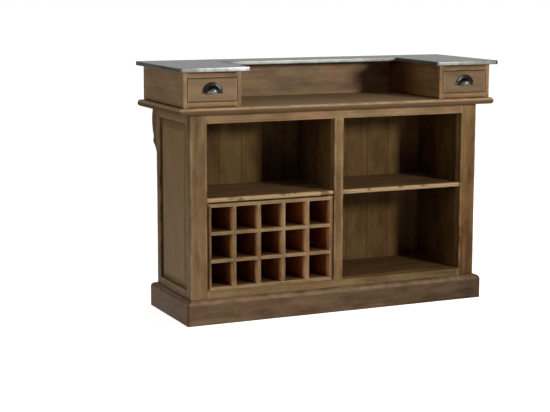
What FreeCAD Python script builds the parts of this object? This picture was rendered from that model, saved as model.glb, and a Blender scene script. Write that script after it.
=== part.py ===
# Bar cabinet: a panelled oak carcase with a wine rack and shelves, a bullnosed counter on top,
# and a raised bar on two drawer boxes, covered with zinc.
# X runs along the bar, the server stands at -Y, Z is up, and the origin is on the floor
# under the middle of the whole object. Lengths are in millimetres.
import FreeCAD, Part
import os
import re
import Sketcher

Vector = FreeCAD.Vector

# Two coordinates closer than this are the same
ROUNDING = 1e-6

# How many of each repeated piece there are
BOTTLE_COLUMNS = 5
BOTTLE_ROWS = 3
MATCHBOARDS = 13
REAR_PANELS = 3
DOVETAILS = 3

# The first board of the back is ripped down to this share of the others
FIRST_MATCHBOARD_SHARE = 0.45

# Driving dimensions, one row of the sheet each
SIZES = {
    # The whole object
    "overall_width": 1400,
    "overall_depth": 500,
    "overall_height": 1000,
    # Raised bar: a U of boards in a folded zinc sheet
    "zinc_edge_height": 16,
    "zinc_sheet": 1.2,
    "zinc_corner_radius": 8,
    "zinc_fold_radius": 1.8,
    "wing_width": 290,
    "strip_depth": 160,
    # Drawer boxes and the board between and behind them
    "box_height": 138,
    "box_width": 236,
    "box_side_setback": 26,
    "box_front_setback": 27,
    "box_board": 15,
    "box_bottom": 22,
    "box_top_rail": 23,
    "box_top_rail_depth": 60,
    "bar_back_thickness": 19,
    "bar_back_setback": 23,
    # Counter with a round nose on every side
    "counter_thickness": 26,
    "counter_side_setback": 3,
    "counter_front_setback": 15,
    "counter_nose_radius": 12.5,
    "counter_corner_radius": 14,
    # Carcase outline
    "carcase_side_setback": 65,
    "carcase_front_setback": 61,
    "carcase_rear_setback": 59,
    # Face frame
    "face_frame_thickness": 39,
    "stile_rebate": 13,
    "stile_width": 68,
    "centre_stile_width": 39,
    "top_rail_height": 38,
    "bottom_rail_reveal": 30,
    "bottom_rail_lap": 38,
    "tenon_thickness": 12,
    "tenon_length": 30,
    "tenon_shoulder": 7,
    # Plinth
    "plinth_height": 98,
    "plinth_thickness": 23,
    "plinth_round": 18,
    "plinth_foot_ease": 1.5,
    # Panelled sides
    "side_frame_thickness": 25,
    "side_front_stile_width": 22,
    "side_rear_stile_width": 20,
    "side_bevel_depth": 12,
    "side_tongue_thickness": 8,
    "side_field_rise": 8,
    "side_bevel_width": 34,
    # Panelled rear
    "rear_frame_thickness": 16,
    "rear_bevel_depth": 8,
    "rear_tongue_thickness": 6,
    "rear_field_rise": 5,
    "rear_bevel_width": 34,
    "muntin_width": 60,
    # Shared by every panel and its grooves
    "groove_depth": 10,
    "panel_tongue": 8,
    "field_step": 1.5,
    # Corbels under the rear overhang
    "corbel_width": 45,
    "corbel_height": 187,
    "corbel_cap": 8,
    "corbel_cap_projection": 29,
    "corbel_waist_drop": 119,
    "corbel_waist_projection": 24,
    "corbel_nib_drop": 141,
    "corbel_nib_projection": 28,
    "corbel_nib_height": 7,
    "corbel_belly_radius": 122,
    "corbel_cove_radius": 16,
    "corbel_tail_radius": 62,
    # Matchboard back
    "matchboard_thickness": 9,
    "matchboard_tongue": 4.5,
    "matchboard_groove": 5,
    "matchboard_tongue_thickness": 3,
    "matchboard_chamfer": 1.2,
    # Inside
    "bottom_board_thickness": 18,
    "lining_thickness": 18,
    "batten_width": 40,
    "bearer_thickness": 12,
    "bearer_height": 20,
    "lower_bay_height": 346,
    "shelf_thickness": 18,
    "shelf_front_setback": 6,
    "shelf_nose_radius": 6,
    "shelf_side_gap": 0.5,
    "shelf_housing": 6,
    # Wine rack
    "rack_board": 13,
    "rack_rear_gap": 22.5,
    "rack_front_setback": 2.5,
    "rack_side_gap": 4.5,
    "rack_top_gap": 5,
    # Drawers
    "drawer_front_gap": 2,
    "drawer_running_gap": 0.3,
    "drawer_front_thickness": 18,
    "drawer_side_thickness": 10,
    "drawer_side_height": 87,
    "drawer_rear_gap": 13,
    "drawer_bottom_thickness": 6,
    "drawer_bottom_height": 8,
    "drawer_groove_depth": 5,
    "drawer_back_drop": 8,
    "dovetail_length": 12,
    "dovetail_width": 22,
    "dovetail_flare": 2,
    # Cup pulls
    "pull_radius": 43,
    "pull_rim_width": 5,
    "pull_wall": 2,
    "pull_shoulder_radius": 26,
    "pull_shoulder_projection": 12,
    "pull_projection": 22,
    "pull_mouth_radius": 30,
    "pull_base_height": 31,
}

# Faces and levels that several pieces share, each worked out from the sizes
PLACES = {
    "carcase_top": "overall_height - zinc_edge_height - box_height - counter_thickness",
    "counter_surface": "carcase_top + counter_thickness",
    "box_top": "counter_surface + box_height",
    "zinc_half": "overall_width / 2",
    "zinc_front": "-overall_depth / 2",
    "zinc_rear": "overall_depth / 2",
    "wing_inner": "zinc_half - wing_width",
    "strip_front": "zinc_rear - strip_depth",
    "counter_half": "overall_width / 2 - counter_side_setback",
    "counter_front": "zinc_front + counter_front_setback",
    "counter_rear": "overall_depth / 2",
    "box_outer": "overall_width / 2 - box_side_setback",
    "box_inner": "box_outer - box_width",
    "box_front": "zinc_front + box_front_setback",
    "bar_back_rear": "zinc_rear - bar_back_setback",
    "bar_back_front": "bar_back_rear - bar_back_thickness",
    "carcase_half": "overall_width / 2 - carcase_side_setback",
    "face_front": "zinc_front + carcase_front_setback",
    "face_rear": "face_front + face_frame_thickness",
    "carcase_rear": "overall_depth / 2 - carcase_rear_setback",
    "rear_frame_front": "carcase_rear - rear_frame_thickness",
    "matchboard_front": "rear_frame_front - matchboard_thickness",
    "side_inner": "carcase_half - side_frame_thickness",
    "opening_outer": "carcase_half - stile_width",
    "opening_inner": "centre_stile_width / 2",
    "opening_bottom": "plinth_height + bottom_rail_reveal",
    "opening_top": "carcase_top - top_rail_height",
    "rail_underside": "plinth_height - bottom_rail_lap",
    "tenon_front": "face_front + (face_frame_thickness - tenon_thickness) / 2",
    "tenon_rear": "tenon_front + tenon_thickness",
    "plinth_half": "carcase_half + plinth_thickness",
    "plinth_front": "face_front - plinth_thickness",
    "plinth_rear": "carcase_rear + plinth_thickness",
    "side_frame_front": "face_rear - stile_rebate",
    "side_sight_front": "side_frame_front + side_front_stile_width",
    "side_sight_rear": "rear_frame_front - side_rear_stile_width",
    "side_groove_outer": "carcase_half - side_bevel_depth",
    "side_groove_inner": "side_groove_outer - side_tongue_thickness",
    "rear_groove_outer": "carcase_rear - rear_bevel_depth",
    "rear_groove_inner": "rear_groove_outer - rear_tongue_thickness",
    "rear_sight_width":
        f"(2 * opening_outer - {REAR_PANELS - 1} * muntin_width) / {REAR_PANELS}",
    "matchboard_width": f"2 * side_inner / {MATCHBOARDS - 1 + FIRST_MATCHBOARD_SHARE}",
    "lining_outer": "opening_outer + lining_thickness",
    "bottom_board_under": "opening_bottom - bottom_board_thickness",
    "shelf_under": "opening_bottom + lower_bay_height",
    "shelf_top": "shelf_under + shelf_thickness",
    "shelf_nose": "face_front + shelf_front_setback",
    "rack_left": "rack_side_gap - opening_outer",
    "rack_right": "-opening_inner - rack_side_gap",
    "rack_front": "face_front + rack_front_setback",
    "rack_rear": "matchboard_front - rack_rear_gap",
    "rack_middle": "(rack_front + rack_rear) / 2",
    "rack_top_face": "shelf_under - rack_top_gap",
    "cell_width":
        f"(rack_right - rack_left - {BOTTLE_COLUMNS + 1} * rack_board) / {BOTTLE_COLUMNS}",
    "cell_height":
        f"(rack_top_face - opening_bottom - {BOTTLE_ROWS + 1} * rack_board) / {BOTTLE_ROWS}",
    "bay_outer": "box_outer - box_board",
    "bay_inner": "box_inner + box_board",
    "bay_bottom": "counter_surface + box_bottom",
    "bay_top": "box_top - box_top_rail",
    "drawer_outer": "bay_outer - drawer_front_gap",
    "drawer_inner": "bay_inner + drawer_front_gap",
    "drawer_front_rear": "box_front + drawer_front_thickness",
    "drawer_rear": "bar_back_front - drawer_rear_gap",
    "drawer_side_under": "bay_bottom + drawer_running_gap",
    "drawer_side_top": "drawer_side_under + drawer_side_height",
    "drawer_bottom_under": "drawer_side_under + drawer_bottom_height",
    "drawer_bottom_top": "drawer_bottom_under + drawer_bottom_thickness",
    "pull_base": "bay_bottom + drawer_front_gap + pull_base_height",
    "pull_dome_rise": "pull_projection - pull_shoulder_projection",
    "pull_dome_radius": "(pull_shoulder_radius ^ 2 + pull_dome_rise ^ 2) / (2 * pull_dome_rise)",
    "pull_dome_centre": "pull_dome_radius - pull_projection",
    "pull_inner_share": "1 - pull_wall / pull_dome_radius",
    "pull_rim_inner": "pull_radius - pull_rim_width",
    "pull_flare_rise": "pull_shoulder_projection - pull_wall",
    "pull_flare_run": "pull_rim_inner - pull_shoulder_radius",
    "pull_flare_radius": "(pull_flare_run ^ 2 + pull_flare_rise ^ 2) / (2 * pull_flare_rise)",
}

doc = FreeCAD.newDocument("BarCabinet")
sheet = doc.addObject("Spreadsheet::Sheet", "Sizes")
for row, (alias, size) in enumerate(SIZES.items(), start=1):
    sheet.set(f"A{row}", alias)
    sheet.set(f"B{row}", str(size))
    sheet.setAlias(f"B{row}", alias)

places = doc.addObject("App::VarSet", "Places")
doc.recompute()


def formula(text, inside_places=False):
    """The words of a formula, each with the name of the object that holds it."""
    def full_name(found):
        word = found.group(0)
        if word in SIZES:
            return "Sizes." + word
        if word in PLACES and not inside_places:
            return "Places." + word
        return word
    return re.sub(r"[A-Za-z_][A-Za-z_0-9]*", full_name, text)


for place, text in PLACES.items():
    places.addProperty("App::PropertyFloat", place)
    places.setExpression(place, formula(text, inside_places=True))
doc.recompute()


def number(text):
    """The value that a formula has now, in millimetres."""
    return float(sheet.evalExpression(formula(text)))


def board(label, x, y, z):
    """A plain board between its low and its high face along X, Y and Z."""
    box = doc.addObject("Part::Box", label)
    for side, axis, (low, high) in (("Length", "x", x), ("Width", "y", y), ("Height", "z", z)):
        box.setExpression(side, formula(f"({high}) - ({low})"))
        box.setExpression("Placement.Base." + axis, formula(low))
    return box


def group(label, pieces):
    """Several solids that stay apart but share one label."""
    compound = doc.addObject("Part::Compound", label)
    compound.Links = pieces
    return compound


def joined(label, pieces):
    """One solid glued up or cut from several forms."""
    union = doc.addObject("Part::MultiFuse", label)
    union.Shapes = pieces
    union.Refine = True
    return union


def cut(label, stock, tools):
    """Stock with the room for every tool taken out of it."""
    cutter = tools[0] if len(tools) == 1 else group(label + "_cutters", tools)
    difference = doc.addObject("Part::Cut", label)
    difference.Base = stock
    difference.Tool = cutter
    return difference


def mirrored(label, source):
    """The right-hand twin of a left-hand piece."""
    twin = doc.addObject("Part::Mirroring", label)
    twin.Source = source
    twin.Normal = Vector(1, 0, 0)
    return twin


def origin_plane(body, role):
    """The body's own plane of that role."""
    return next(plane for plane in body.Origin.OriginFeatures if plane.Role == role)


def arc_between(start, end, radius, centre_on_left):
    """The shorter arc of a radius from start to end, turning left or right."""
    chord = end - start
    half = chord.Length / 2
    to_centre = max(radius * radius - half * half, 0) ** 0.5
    left = Vector(-chord.y, chord.x, 0).normalize()
    centre = (start + end) * 0.5 + left * (to_centre if centre_on_left else -to_centre)
    first, last = (start, end) if centre_on_left else (end, start)
    begin = Vector(1, 0, 0).getAngle(first - centre) * (1 if first.y >= centre.y else -1)
    finish = Vector(1, 0, 0).getAngle(last - centre) * (1 if last.y >= centre.y else -1)
    return Part.ArcOfCircle(Part.Circle(centre, Vector(0, 0, 1), radius), begin, finish)


def outline(sketch, points):
    """A closed outline through points in formulas.

    A point is (x, y), and an arc to the next one adds its radius and "left" or "right" for the
    side of its centre.
    """
    corners = [Vector(number(point[0]), number(point[1]), 0) for point in points]
    ends = []
    for i, point in enumerate(points):
        start = corners[i]
        end = corners[(i + 1) % len(points)]
        if len(point) == 2:
            edge = sketch.addGeometry(Part.LineSegment(start, end))
            ends.append((edge, 1, 2))
        else:
            turns_left = point[3] == "left"
            edge = sketch.addGeometry(arc_between(start, end, number(point[2]), turns_left))
            ends.append((edge, 1, 2) if turns_left else (edge, 2, 1))
    for (edge, _, last), (following, first, _) in zip(ends, ends[1:] + ends[:1]):
        sketch.addConstraint(Sketcher.Constraint("Coincident", edge, last, following, first))
    for point, corner, (edge, first, _) in zip(points, corners, ends):
        for kind, text, value in (("DistanceX", point[0], corner.x), ("DistanceY", point[1], corner.y)):
            held = sketch.addConstraint(Sketcher.Constraint(kind, edge, first, value))
            sketch.setExpression(f"Constraints[{held}]", formula(text))
        if len(point) == 4:
            held = sketch.addConstraint(Sketcher.Constraint("Radius", edge, number(point[2])))
            sketch.setExpression(f"Constraints[{held}]", formula(point[2]))


def drawn(body, name, role, points, offset="0"):
    """A sketch of an outline on the body's own plane, moved along the plane's normal."""
    sketch = body.newObject("Sketcher::SketchObject", name)
    sketch.AttachmentSupport = [(origin_plane(body, role), "")]
    sketch.MapMode = "FlatFace"
    sketch.setExpression("AttachmentOffset.Base.z", formula(offset))
    outline(sketch, points)
    return sketch


def padded(body, name, role, points, low, high):
    """An outline carried between two faces along the normal of its plane."""
    offset = f"-({high})" if role == "XZ_Plane" else low
    sketch = drawn(body, name + "_outline", role, points, offset)
    pad = body.newObject("PartDesign::Pad", name)
    pad.Profile = sketch
    pad.setExpression("Length", formula(f"({high}) - ({low})"))
    return pad


def rounded(body, name, radius, chosen):
    """Fillets on the edges of the body's tip that the test picks."""
    doc.recompute()
    tip = body.Tip
    edges = [f"Edge{i}" for i, edge in enumerate(tip.Shape.Edges, start=1) if chosen(edge)]
    fillet = body.newObject("PartDesign::Fillet", name)
    fillet.Base = (tip, edges)
    fillet.setExpression("Radius", formula(radius))
    return fillet


def same(first, second):
    """Whether two coordinates are the same, apart from rounding."""
    return abs(first - second) < ROUNDING


def rectangle(x, y):
    """The four corners of a rectangle between two pairs of faces."""
    return [(x[0], y[0]), (x[1], y[0]), (x[1], y[1]), (x[0], y[1])]


def is_upright(edge):
    """Whether an edge runs straight up."""
    box = edge.BoundBox
    return same(box.XLength, 0) and same(box.YLength, 0)


# Face frame: stiles that run down to the floor behind the plinth, with rails tenoned into them.
# One strip per rail is both its pair of tenons and the cutter of their mortises. The outer stiles
# are rebated at the back for the side frames.
face_frame_depth = ("face_front", "face_rear")
tenon_depth = ("tenon_front", "tenon_rear")
tenon_reach = ("-opening_outer - tenon_length", "opening_outer + tenon_length")
rail_heights = {
    "front_rail_top": ("opening_top", "carcase_top"),
    "front_rail_bottom": ("rail_underside", "opening_bottom"),
}
rail_tenons = []
for rail, (low, high) in rail_heights.items():
    tenon_height = (f"{low} + tenon_shoulder", f"{high} - tenon_shoulder")
    rail_tenons.append(board(rail + "_tenons", tenon_reach, tenon_depth, tenon_height))
centre_tenon = board(
    "front_stile_centre_tenons",
    ("tenon_shoulder - opening_inner", "opening_inner - tenon_shoulder"),
    tenon_depth,
    ("opening_bottom - tenon_length + tenon_shoulder", "opening_top + tenon_length - tenon_shoulder"),
)
for rail, tenons in zip(rail_heights, rail_tenons):
    bar = board(rail + "_bar", ("-opening_outer", "opening_outer"), face_frame_depth, rail_heights[rail])
    cut(rail, joined(rail + "_stock", [bar, tenons]), [centre_tenon])
centre_bar = board(
    "front_stile_centre_bar", ("-opening_inner", "opening_inner"), face_frame_depth,
    ("opening_bottom", "opening_top"),
)
joined("front_stile_centre", [centre_bar, centre_tenon])
stile_stock = board(
    "front_stile_left_stock", ("-carcase_half", "-opening_outer"), face_frame_depth, ("0", "carcase_top"),
)
stile_rebate = board(
    "front_stile_left_rebate", ("-carcase_half", "-side_inner"), ("side_frame_front", "face_rear"),
    ("0", "carcase_top"),
)
front_stile_left = cut("front_stile_left", stile_stock, [*rail_tenons, stile_rebate])
mirrored("front_stile_right", front_stile_left)


# Plinth: four mitred boards that stand on the floor round the foot of the carcase
def plinth_board(label, plan, outer_axis, outer_face):
    """A mitred board of the plinth with a quarter-round top and an eased foot."""
    body = doc.addObject("PartDesign::Body", label)
    padded(body, label + "_board", "XY_Plane", plan, "0", "plinth_height")

    def on_outer_face(edge, height):
        middle = edge.CenterOfMass
        return same(getattr(middle, outer_axis), number(outer_face)) and same(middle.z, number(height))

    rounded(body, label + "_round", "plinth_round", lambda edge: on_outer_face(edge, "plinth_height"))
    rounded(body, label + "_ease", "plinth_foot_ease", lambda edge: on_outer_face(edge, "0"))
    return body


plinth_board("plinth_front", [
    ("-plinth_half", "plinth_front"), ("plinth_half", "plinth_front"),
    ("carcase_half", "face_front"), ("-carcase_half", "face_front"),
], "y", "plinth_front")
plinth_board("plinth_rear", [
    ("-carcase_half", "carcase_rear"), ("carcase_half", "carcase_rear"),
    ("plinth_half", "plinth_rear"), ("-plinth_half", "plinth_rear"),
], "y", "plinth_rear")
plinth_left = plinth_board("plinth_left", [
    ("-plinth_half", "plinth_front"), ("-carcase_half", "face_front"),
    ("-carcase_half", "carcase_rear"), ("-plinth_half", "plinth_rear"),
], "x", "-plinth_half")
mirrored("plinth_right", plinth_left)


# Raised and fielded panels, drawn flat with their back on the drawing plane
def raised_panel(label, width, height, kind, turn, base):
    """A panel whose wide bevels rise from a thin tongue to a flat field.

    Width and height are those of the frame's opening; the tongue goes past them into the grooves.
    """
    body = doc.addObject("PartDesign::Body", label)

    def centred(margin):
        x = (f"-({width}) / 2 + {margin}", f"({width}) / 2 - {margin}")
        y = (f"-({height}) / 2 + {margin}", f"({height}) / 2 - {margin}")
        return rectangle(x, y)

    tongue = f"{kind}_tongue_thickness"
    bevel_top = f"{tongue} + {kind}_field_rise - field_step"
    padded(body, label + "_tongue", "XY_Plane", centred("(-panel_tongue)"), "0", tongue)
    foot = drawn(body, label + "_bevel_foot", "XY_Plane", centred("0"), tongue)
    head = drawn(body, label + "_bevel_head", "XY_Plane", centred(f"{kind}_bevel_width"), bevel_top)
    bevel = body.newObject("PartDesign::AdditiveLoft", label + "_bevel")
    bevel.Profile = foot
    bevel.Sections = [head]
    padded(
        body, label + "_field", "XY_Plane", centred(f"{kind}_bevel_width"),
        bevel_top, f"{bevel_top} + field_step",
    )
    body.Placement = FreeCAD.Placement(Vector(), turn)
    for axis, text in zip("xyz", base):
        body.setExpression("Placement.Base." + axis, formula(text))
    return body


# Left side: a grooved frame in the rebate of the front stile, round one raised panel
side_depth = ("-carcase_half", "-side_inner")
side_groove = ("-side_groove_outer", "-side_groove_inner")
groove_along = ("side_sight_front - groove_depth", "side_sight_rear + groove_depth")
panel_groove = board(
    "side_panel_groove", side_groove, groove_along,
    ("opening_bottom - groove_depth", "opening_top + groove_depth"),
)
full_groove = board("side_stile_groove", side_groove, groove_along, ("rail_underside", "carcase_top"))
side_stiles = {
    "side_left_front_stile": ("side_frame_front", "side_sight_front"),
    "side_left_rear_stile": ("side_sight_rear", "rear_frame_front"),
}
side_pieces = []
for stile, width in side_stiles.items():
    stock = board(stile + "_stock", side_depth, width, ("0", "carcase_top"))
    side_pieces.append(cut(stile, stock, [full_groove]))
for rail, height in (
    ("side_left_top_rail", ("opening_top", "carcase_top")),
    ("side_left_bottom_rail", ("rail_underside", "opening_bottom")),
):
    bar = board(rail + "_bar", side_depth, ("side_sight_front", "side_sight_rear"), height)
    tenons = board(rail + "_tenons", side_groove, groove_along, height)
    side_pieces.append(cut(rail, joined(rail + "_stock", [bar, tenons]), [panel_groove]))
facing_left = FreeCAD.Rotation(Vector(0, -1, 0), Vector(0, 0, 1), Vector(-1, 0, 0), "ZXY")
side_pieces.append(raised_panel(
    "side_left_panel", "side_sight_rear - side_sight_front", "opening_top - opening_bottom", "side",
    facing_left,
    ("-side_groove_inner", "(side_sight_front + side_sight_rear) / 2", "(opening_bottom + opening_top) / 2"),
))
for piece in side_pieces:
    mirrored(piece.Name.replace("left", "right"), piece)


# Rear: the customer's side, a frame with two muntins round three raised panels
rear_depth = ("rear_frame_front", "carcase_rear")
rear_groove = ("rear_groove_inner", "rear_groove_outer")
rear_panel_groove = board(
    "rear_panel_groove", ("-opening_outer - groove_depth", "opening_outer + groove_depth"), rear_groove,
    ("opening_bottom - groove_depth", "opening_top + groove_depth"),
)
rear_stile_groove = board(
    "rear_stile_groove", ("-opening_outer - groove_depth", "opening_outer + groove_depth"), rear_groove,
    ("rail_underside", "carcase_top"),
)
rear_stile_stock = board(
    "rear_stile_left_stock", ("-carcase_half", "-opening_outer"), rear_depth, ("0", "carcase_top"),
)
rear_stile_left = cut("rear_stile_left", rear_stile_stock, [rear_stile_groove])
mirrored("rear_stile_right", rear_stile_left)
for rail, height in (
    ("rear_rail_top", ("opening_top", "carcase_top")),
    ("rear_rail_bottom", ("rail_underside", "opening_bottom")),
):
    bar = board(rail + "_bar", ("-opening_outer", "opening_outer"), rear_depth, height)
    tenons = board(
        rail + "_tenons", ("-opening_outer - groove_depth", "opening_outer + groove_depth"),
        rear_groove, height,
    )
    cut(rail, joined(rail + "_stock", [bar, tenons]), [rear_panel_groove])
muntins = []
rear_panels = []
facing_rear = FreeCAD.Rotation(Vector(-1, 0, 0), Vector(0, 0, 1), Vector(0, 1, 0), "ZXY")
for i in range(REAR_PANELS):
    left = f"(-opening_outer + {i} * (rear_sight_width + muntin_width))"
    right = f"({left} + rear_sight_width)"
    rear_panels.append(raised_panel(
        f"rear_panel_{i + 1}", "rear_sight_width", "opening_top - opening_bottom", "rear", facing_rear,
        (f"{left} + rear_sight_width / 2", "rear_groove_inner", "(opening_bottom + opening_top) / 2"),
    ))
    if i < REAR_PANELS - 1:
        post = board(
            f"muntin_{i + 1}_post", (right, f"{right} + muntin_width"), rear_depth,
            ("opening_bottom", "opening_top"),
        )
        tenons = board(
            f"muntin_{i + 1}_tenons", (right, f"{right} + muntin_width"), rear_groove,
            ("opening_bottom - groove_depth", "opening_top + groove_depth"),
        )
        grooves = [
            board(
                f"muntin_{i + 1}_groove_{side}", edge, rear_groove,
                ("opening_bottom - groove_depth", "opening_top + groove_depth"),
            )
            for side, edge in (
                ("left", (right, f"{right} + groove_depth")),
                ("right", (f"{right} + muntin_width - groove_depth", f"{right} + muntin_width")),
            )
        ]
        muntins.append(cut(f"muntin_{i + 1}", joined(f"muntin_{i + 1}_stock", [post, tenons]), grooves))
group("rear_muntins", muntins)
group("rear_panels", rear_panels)

# Corbels: scrolled brackets under the rear overhang, flush with the sides of the carcase
corbel = doc.addObject("PartDesign::Body", "corbel_left")
padded(corbel, "corbel_scroll", "YZ_Plane", [
    ("carcase_rear", "carcase_top - corbel_height", "corbel_tail_radius", "right"),
    ("carcase_rear + corbel_nib_projection", "carcase_top - corbel_nib_drop - corbel_nib_height"),
    ("carcase_rear + corbel_nib_projection", "carcase_top - corbel_nib_drop",
     "corbel_cove_radius", "right"),
    ("carcase_rear + corbel_waist_projection", "carcase_top - corbel_waist_drop",
     "corbel_belly_radius", "left"),
    ("carcase_rear + corbel_cap_projection", "carcase_top - corbel_cap"),
    ("carcase_rear + corbel_cap_projection", "carcase_top"),
    ("carcase_rear", "carcase_top"),
], "-carcase_half", "corbel_width - carcase_half")
group("corbels", [corbel, mirrored("corbel_right", corbel)])


# Back: tongued and grooved boards, chamfered along each joint, nailed inside the rear frame
def matchboard(place, has_tongue):
    """One upright board with a groove on its left edge and a tongue on its right."""
    width = "matchboard_width" if place else f"({FIRST_MATCHBOARD_SHARE} * matchboard_width)"
    ahead = place - 1 + FIRST_MATCHBOARD_SHARE if place else 0
    face = "matchboard_chamfer"
    groove = (
        "(matchboard_thickness - matchboard_tongue_thickness) / 2",
        "(matchboard_thickness + matchboard_tongue_thickness) / 2",
    )
    tongue = [
        (width, groove[0]), (f"{width} + matchboard_tongue", groove[0]),
        (f"{width} + matchboard_tongue", groove[1]), (width, groove[1]),
    ]
    points = [
        (face, "0"), (f"{width} - {face}", "0"), (width, face),
        *(tongue if has_tongue else []),
        (width, "matchboard_thickness"), ("0", "matchboard_thickness"), ("0", groove[1]),
        ("matchboard_groove", groove[1]), ("matchboard_groove", groove[0]), ("0", groove[0]), ("0", face),
    ]
    body = doc.addObject("PartDesign::Body", f"matchboard_{place + 1}")
    padded(body, f"matchboard_{place + 1}_board", "XY_Plane", points, "rail_underside", "carcase_top")
    body.setExpression("Placement.Base.x", formula(f"{ahead} * matchboard_width - side_inner"))
    body.setExpression("Placement.Base.y", formula("matchboard_front"))
    return body


group("back_boards", [matchboard(i, i < MATCHBOARDS - 1) for i in range(MATCHBOARDS)])

# Inside: the bottom board, and boards that line each bay flush with the stiles. The partition is
# two of them back to back. Each shelf is housed in the linings and passes between the stiles.
inside_depth = ("face_rear", "matchboard_front")
bay_height = ("opening_bottom", "carcase_top")
board(
    "bottom_board", ("-side_inner", "side_inner"), inside_depth, ("bottom_board_under", "opening_bottom"),
)
housed_width = ("-opening_outer - shelf_housing", "shelf_housing - opening_inner")
shelf_room = board("shelf_room_left", housed_width, inside_depth, ("shelf_under", "shelf_top"))
for lining, x in (
    ("side_linings", ("-lining_outer", "-opening_outer")),
    ("partition", ("-opening_inner", "0")),
):
    stock = board(lining + "_left_stock", x, inside_depth, bay_height)
    left_lining = cut(lining + "_left", stock, [shelf_room])
    group(lining, [left_lining, mirrored(lining + "_right", left_lining)])
shelf_left = doc.addObject("PartDesign::Body", "shelf_left")
padded(shelf_left, "shelf_board", "XY_Plane", [
    ("shelf_side_gap - opening_outer", "shelf_nose"),
    ("-opening_inner - shelf_side_gap", "shelf_nose"),
    ("-opening_inner - shelf_side_gap", "face_rear"),
    (housed_width[1], "face_rear"),
    (housed_width[1], "matchboard_front"),
    (housed_width[0], "matchboard_front"),
    (housed_width[0], "face_rear"),
    ("shelf_side_gap - opening_outer", "face_rear"),
], "shelf_under", "shelf_top")
rounded(
    shelf_left, "shelf_nose_round", "shelf_nose_radius",
    lambda edge: same(edge.CenterOfMass.y, number("shelf_nose")) and not is_upright(edge),
)
mirrored("shelf_right", shelf_left)

# Battens: two uprights that hold each side lining off the side frame, and a bearer under the
# end of the bottom board
batten_x = ("-side_inner", "-lining_outer")
left_battens = [
    board("batten_front", batten_x, ("face_rear", "face_rear + batten_width"), bay_height),
    board("batten_rear", batten_x, ("matchboard_front - batten_width", "matchboard_front"), bay_height),
    board(
        "bearer", ("-side_inner", "bearer_thickness - side_inner"), inside_depth,
        ("bottom_board_under - bearer_height", "bottom_board_under"),
    ),
]
group("battens", left_battens + [
    mirrored(batten.Name + "_right", batten) for batten in left_battens
])

# Counter: one thick board, full round on every edge
counter = doc.addObject("PartDesign::Body", "counter_top")
padded(
    counter, "counter_board", "XY_Plane",
    rectangle(("-counter_half", "counter_half"), ("counter_front", "counter_rear")),
    "carcase_top", "counter_surface",
)
rounded(counter, "counter_corners", "counter_corner_radius", is_upright)
rounded(counter, "counter_nose", "counter_nose_radius", lambda edge: (
    same(edge.BoundBox.ZMin, number("carcase_top")) and same(edge.BoundBox.ZMax, number("carcase_top"))
    or same(edge.BoundBox.ZMin, number("counter_surface"))
    and same(edge.BoundBox.ZMax, number("counter_surface"))
))

# Drawer boxes: two sides on the counter, a bottom board between them, and rails under the bar
box_depth = ("box_front", "bar_back_front")
left_box_sides = [
    board("left_box_outer_side", ("-box_outer", "-bay_outer"), box_depth, ("counter_surface", "box_top")),
    board("left_box_inner_side", ("-bay_inner", "-box_inner"), box_depth, ("counter_surface", "box_top")),
]
for side in left_box_sides:
    mirrored(side.Name.replace("left", "right"), side)
bay_width = ("-bay_outer", "-bay_inner")
box_floor = board("box_bottom_left", bay_width, box_depth, ("counter_surface", "bay_bottom"))
group("box_bottoms", [box_floor, mirrored("box_bottom_right", box_floor)])
box_rails = [
    board(f"box_top_rail_{name}", bay_width, y, ("bay_top", "box_top"))
    for name, y in (
        ("front", ("box_front", "box_front + box_top_rail_depth")),
        ("rear", ("bar_back_front - box_top_rail_depth", "bar_back_front")),
    )
]
group("box_top_rails", box_rails + [mirrored(rail.Name + "_right", rail) for rail in box_rails])
board(
    "bar_back", ("-box_outer", "box_outer"), ("bar_back_front", "bar_back_rear"),
    ("counter_surface", "box_top"),
)


# Bar top: two wings and a rear strip of board, wrapped in one folded zinc sheet
def bar_plan(inset):
    """The U of the bar in plan, drawn in by an inset, with its six outer corners rounded."""
    bend = f"(zinc_corner_radius - {inset})"
    outer = f"(zinc_half - {inset})"
    inner = f"(wing_inner + {inset})"
    front = f"(zinc_front + {inset})"
    rear = f"(zinc_rear - {inset})"
    strip = f"(strip_front + {inset})"
    return [
        (f"-{outer} + {bend}", front), (f"-{inner} - {bend}", front, bend, "left"),
        (f"-{inner}", f"{front} + {bend}"), (f"-{inner}", strip), (inner, strip),
        (inner, f"{front} + {bend}", bend, "left"), (f"{inner} + {bend}", front),
        (f"{outer} - {bend}", front, bend, "left"), (outer, f"{front} + {bend}"),
        (outer, f"{rear} - {bend}", bend, "left"), (f"{outer} - {bend}", rear),
        (f"-{outer} + {bend}", rear, bend, "left"), (f"-{outer}", f"{rear} - {bend}"),
        (f"-{outer}", f"{front} + {bend}", bend, "left"),
    ]


zinc_top = doc.addObject("PartDesign::Body", "zinc_top")
zinc_block = padded(zinc_top, "zinc_block", "XY_Plane", bar_plan("0"), "box_top", "overall_height")
zinc_hollow = zinc_top.newObject("PartDesign::Pocket", "zinc_hollow")
zinc_hollow.Profile = drawn(zinc_top, "zinc_hollow_outline", "XY_Plane", bar_plan("zinc_sheet"), "box_top")
zinc_hollow.Reversed = True
zinc_hollow.setExpression("Length", formula("zinc_edge_height - zinc_sheet"))
rounded(
    zinc_top, "zinc_fold", "zinc_fold_radius",
    lambda edge: same(edge.BoundBox.ZMin, number("overall_height"))
    and same(edge.BoundBox.ZMax, number("overall_height")),
)
core_height = ("box_top", "overall_height - zinc_sheet")
left_top_board = doc.addObject("PartDesign::Body", "left_top_board")
padded(
    left_top_board, "wing_board", "XY_Plane",
    rectangle(
        ("zinc_sheet - zinc_half", "-wing_inner - zinc_sheet"),
        ("zinc_front + zinc_sheet", "zinc_rear - zinc_sheet"),
    ),
    *core_height,
)
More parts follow.
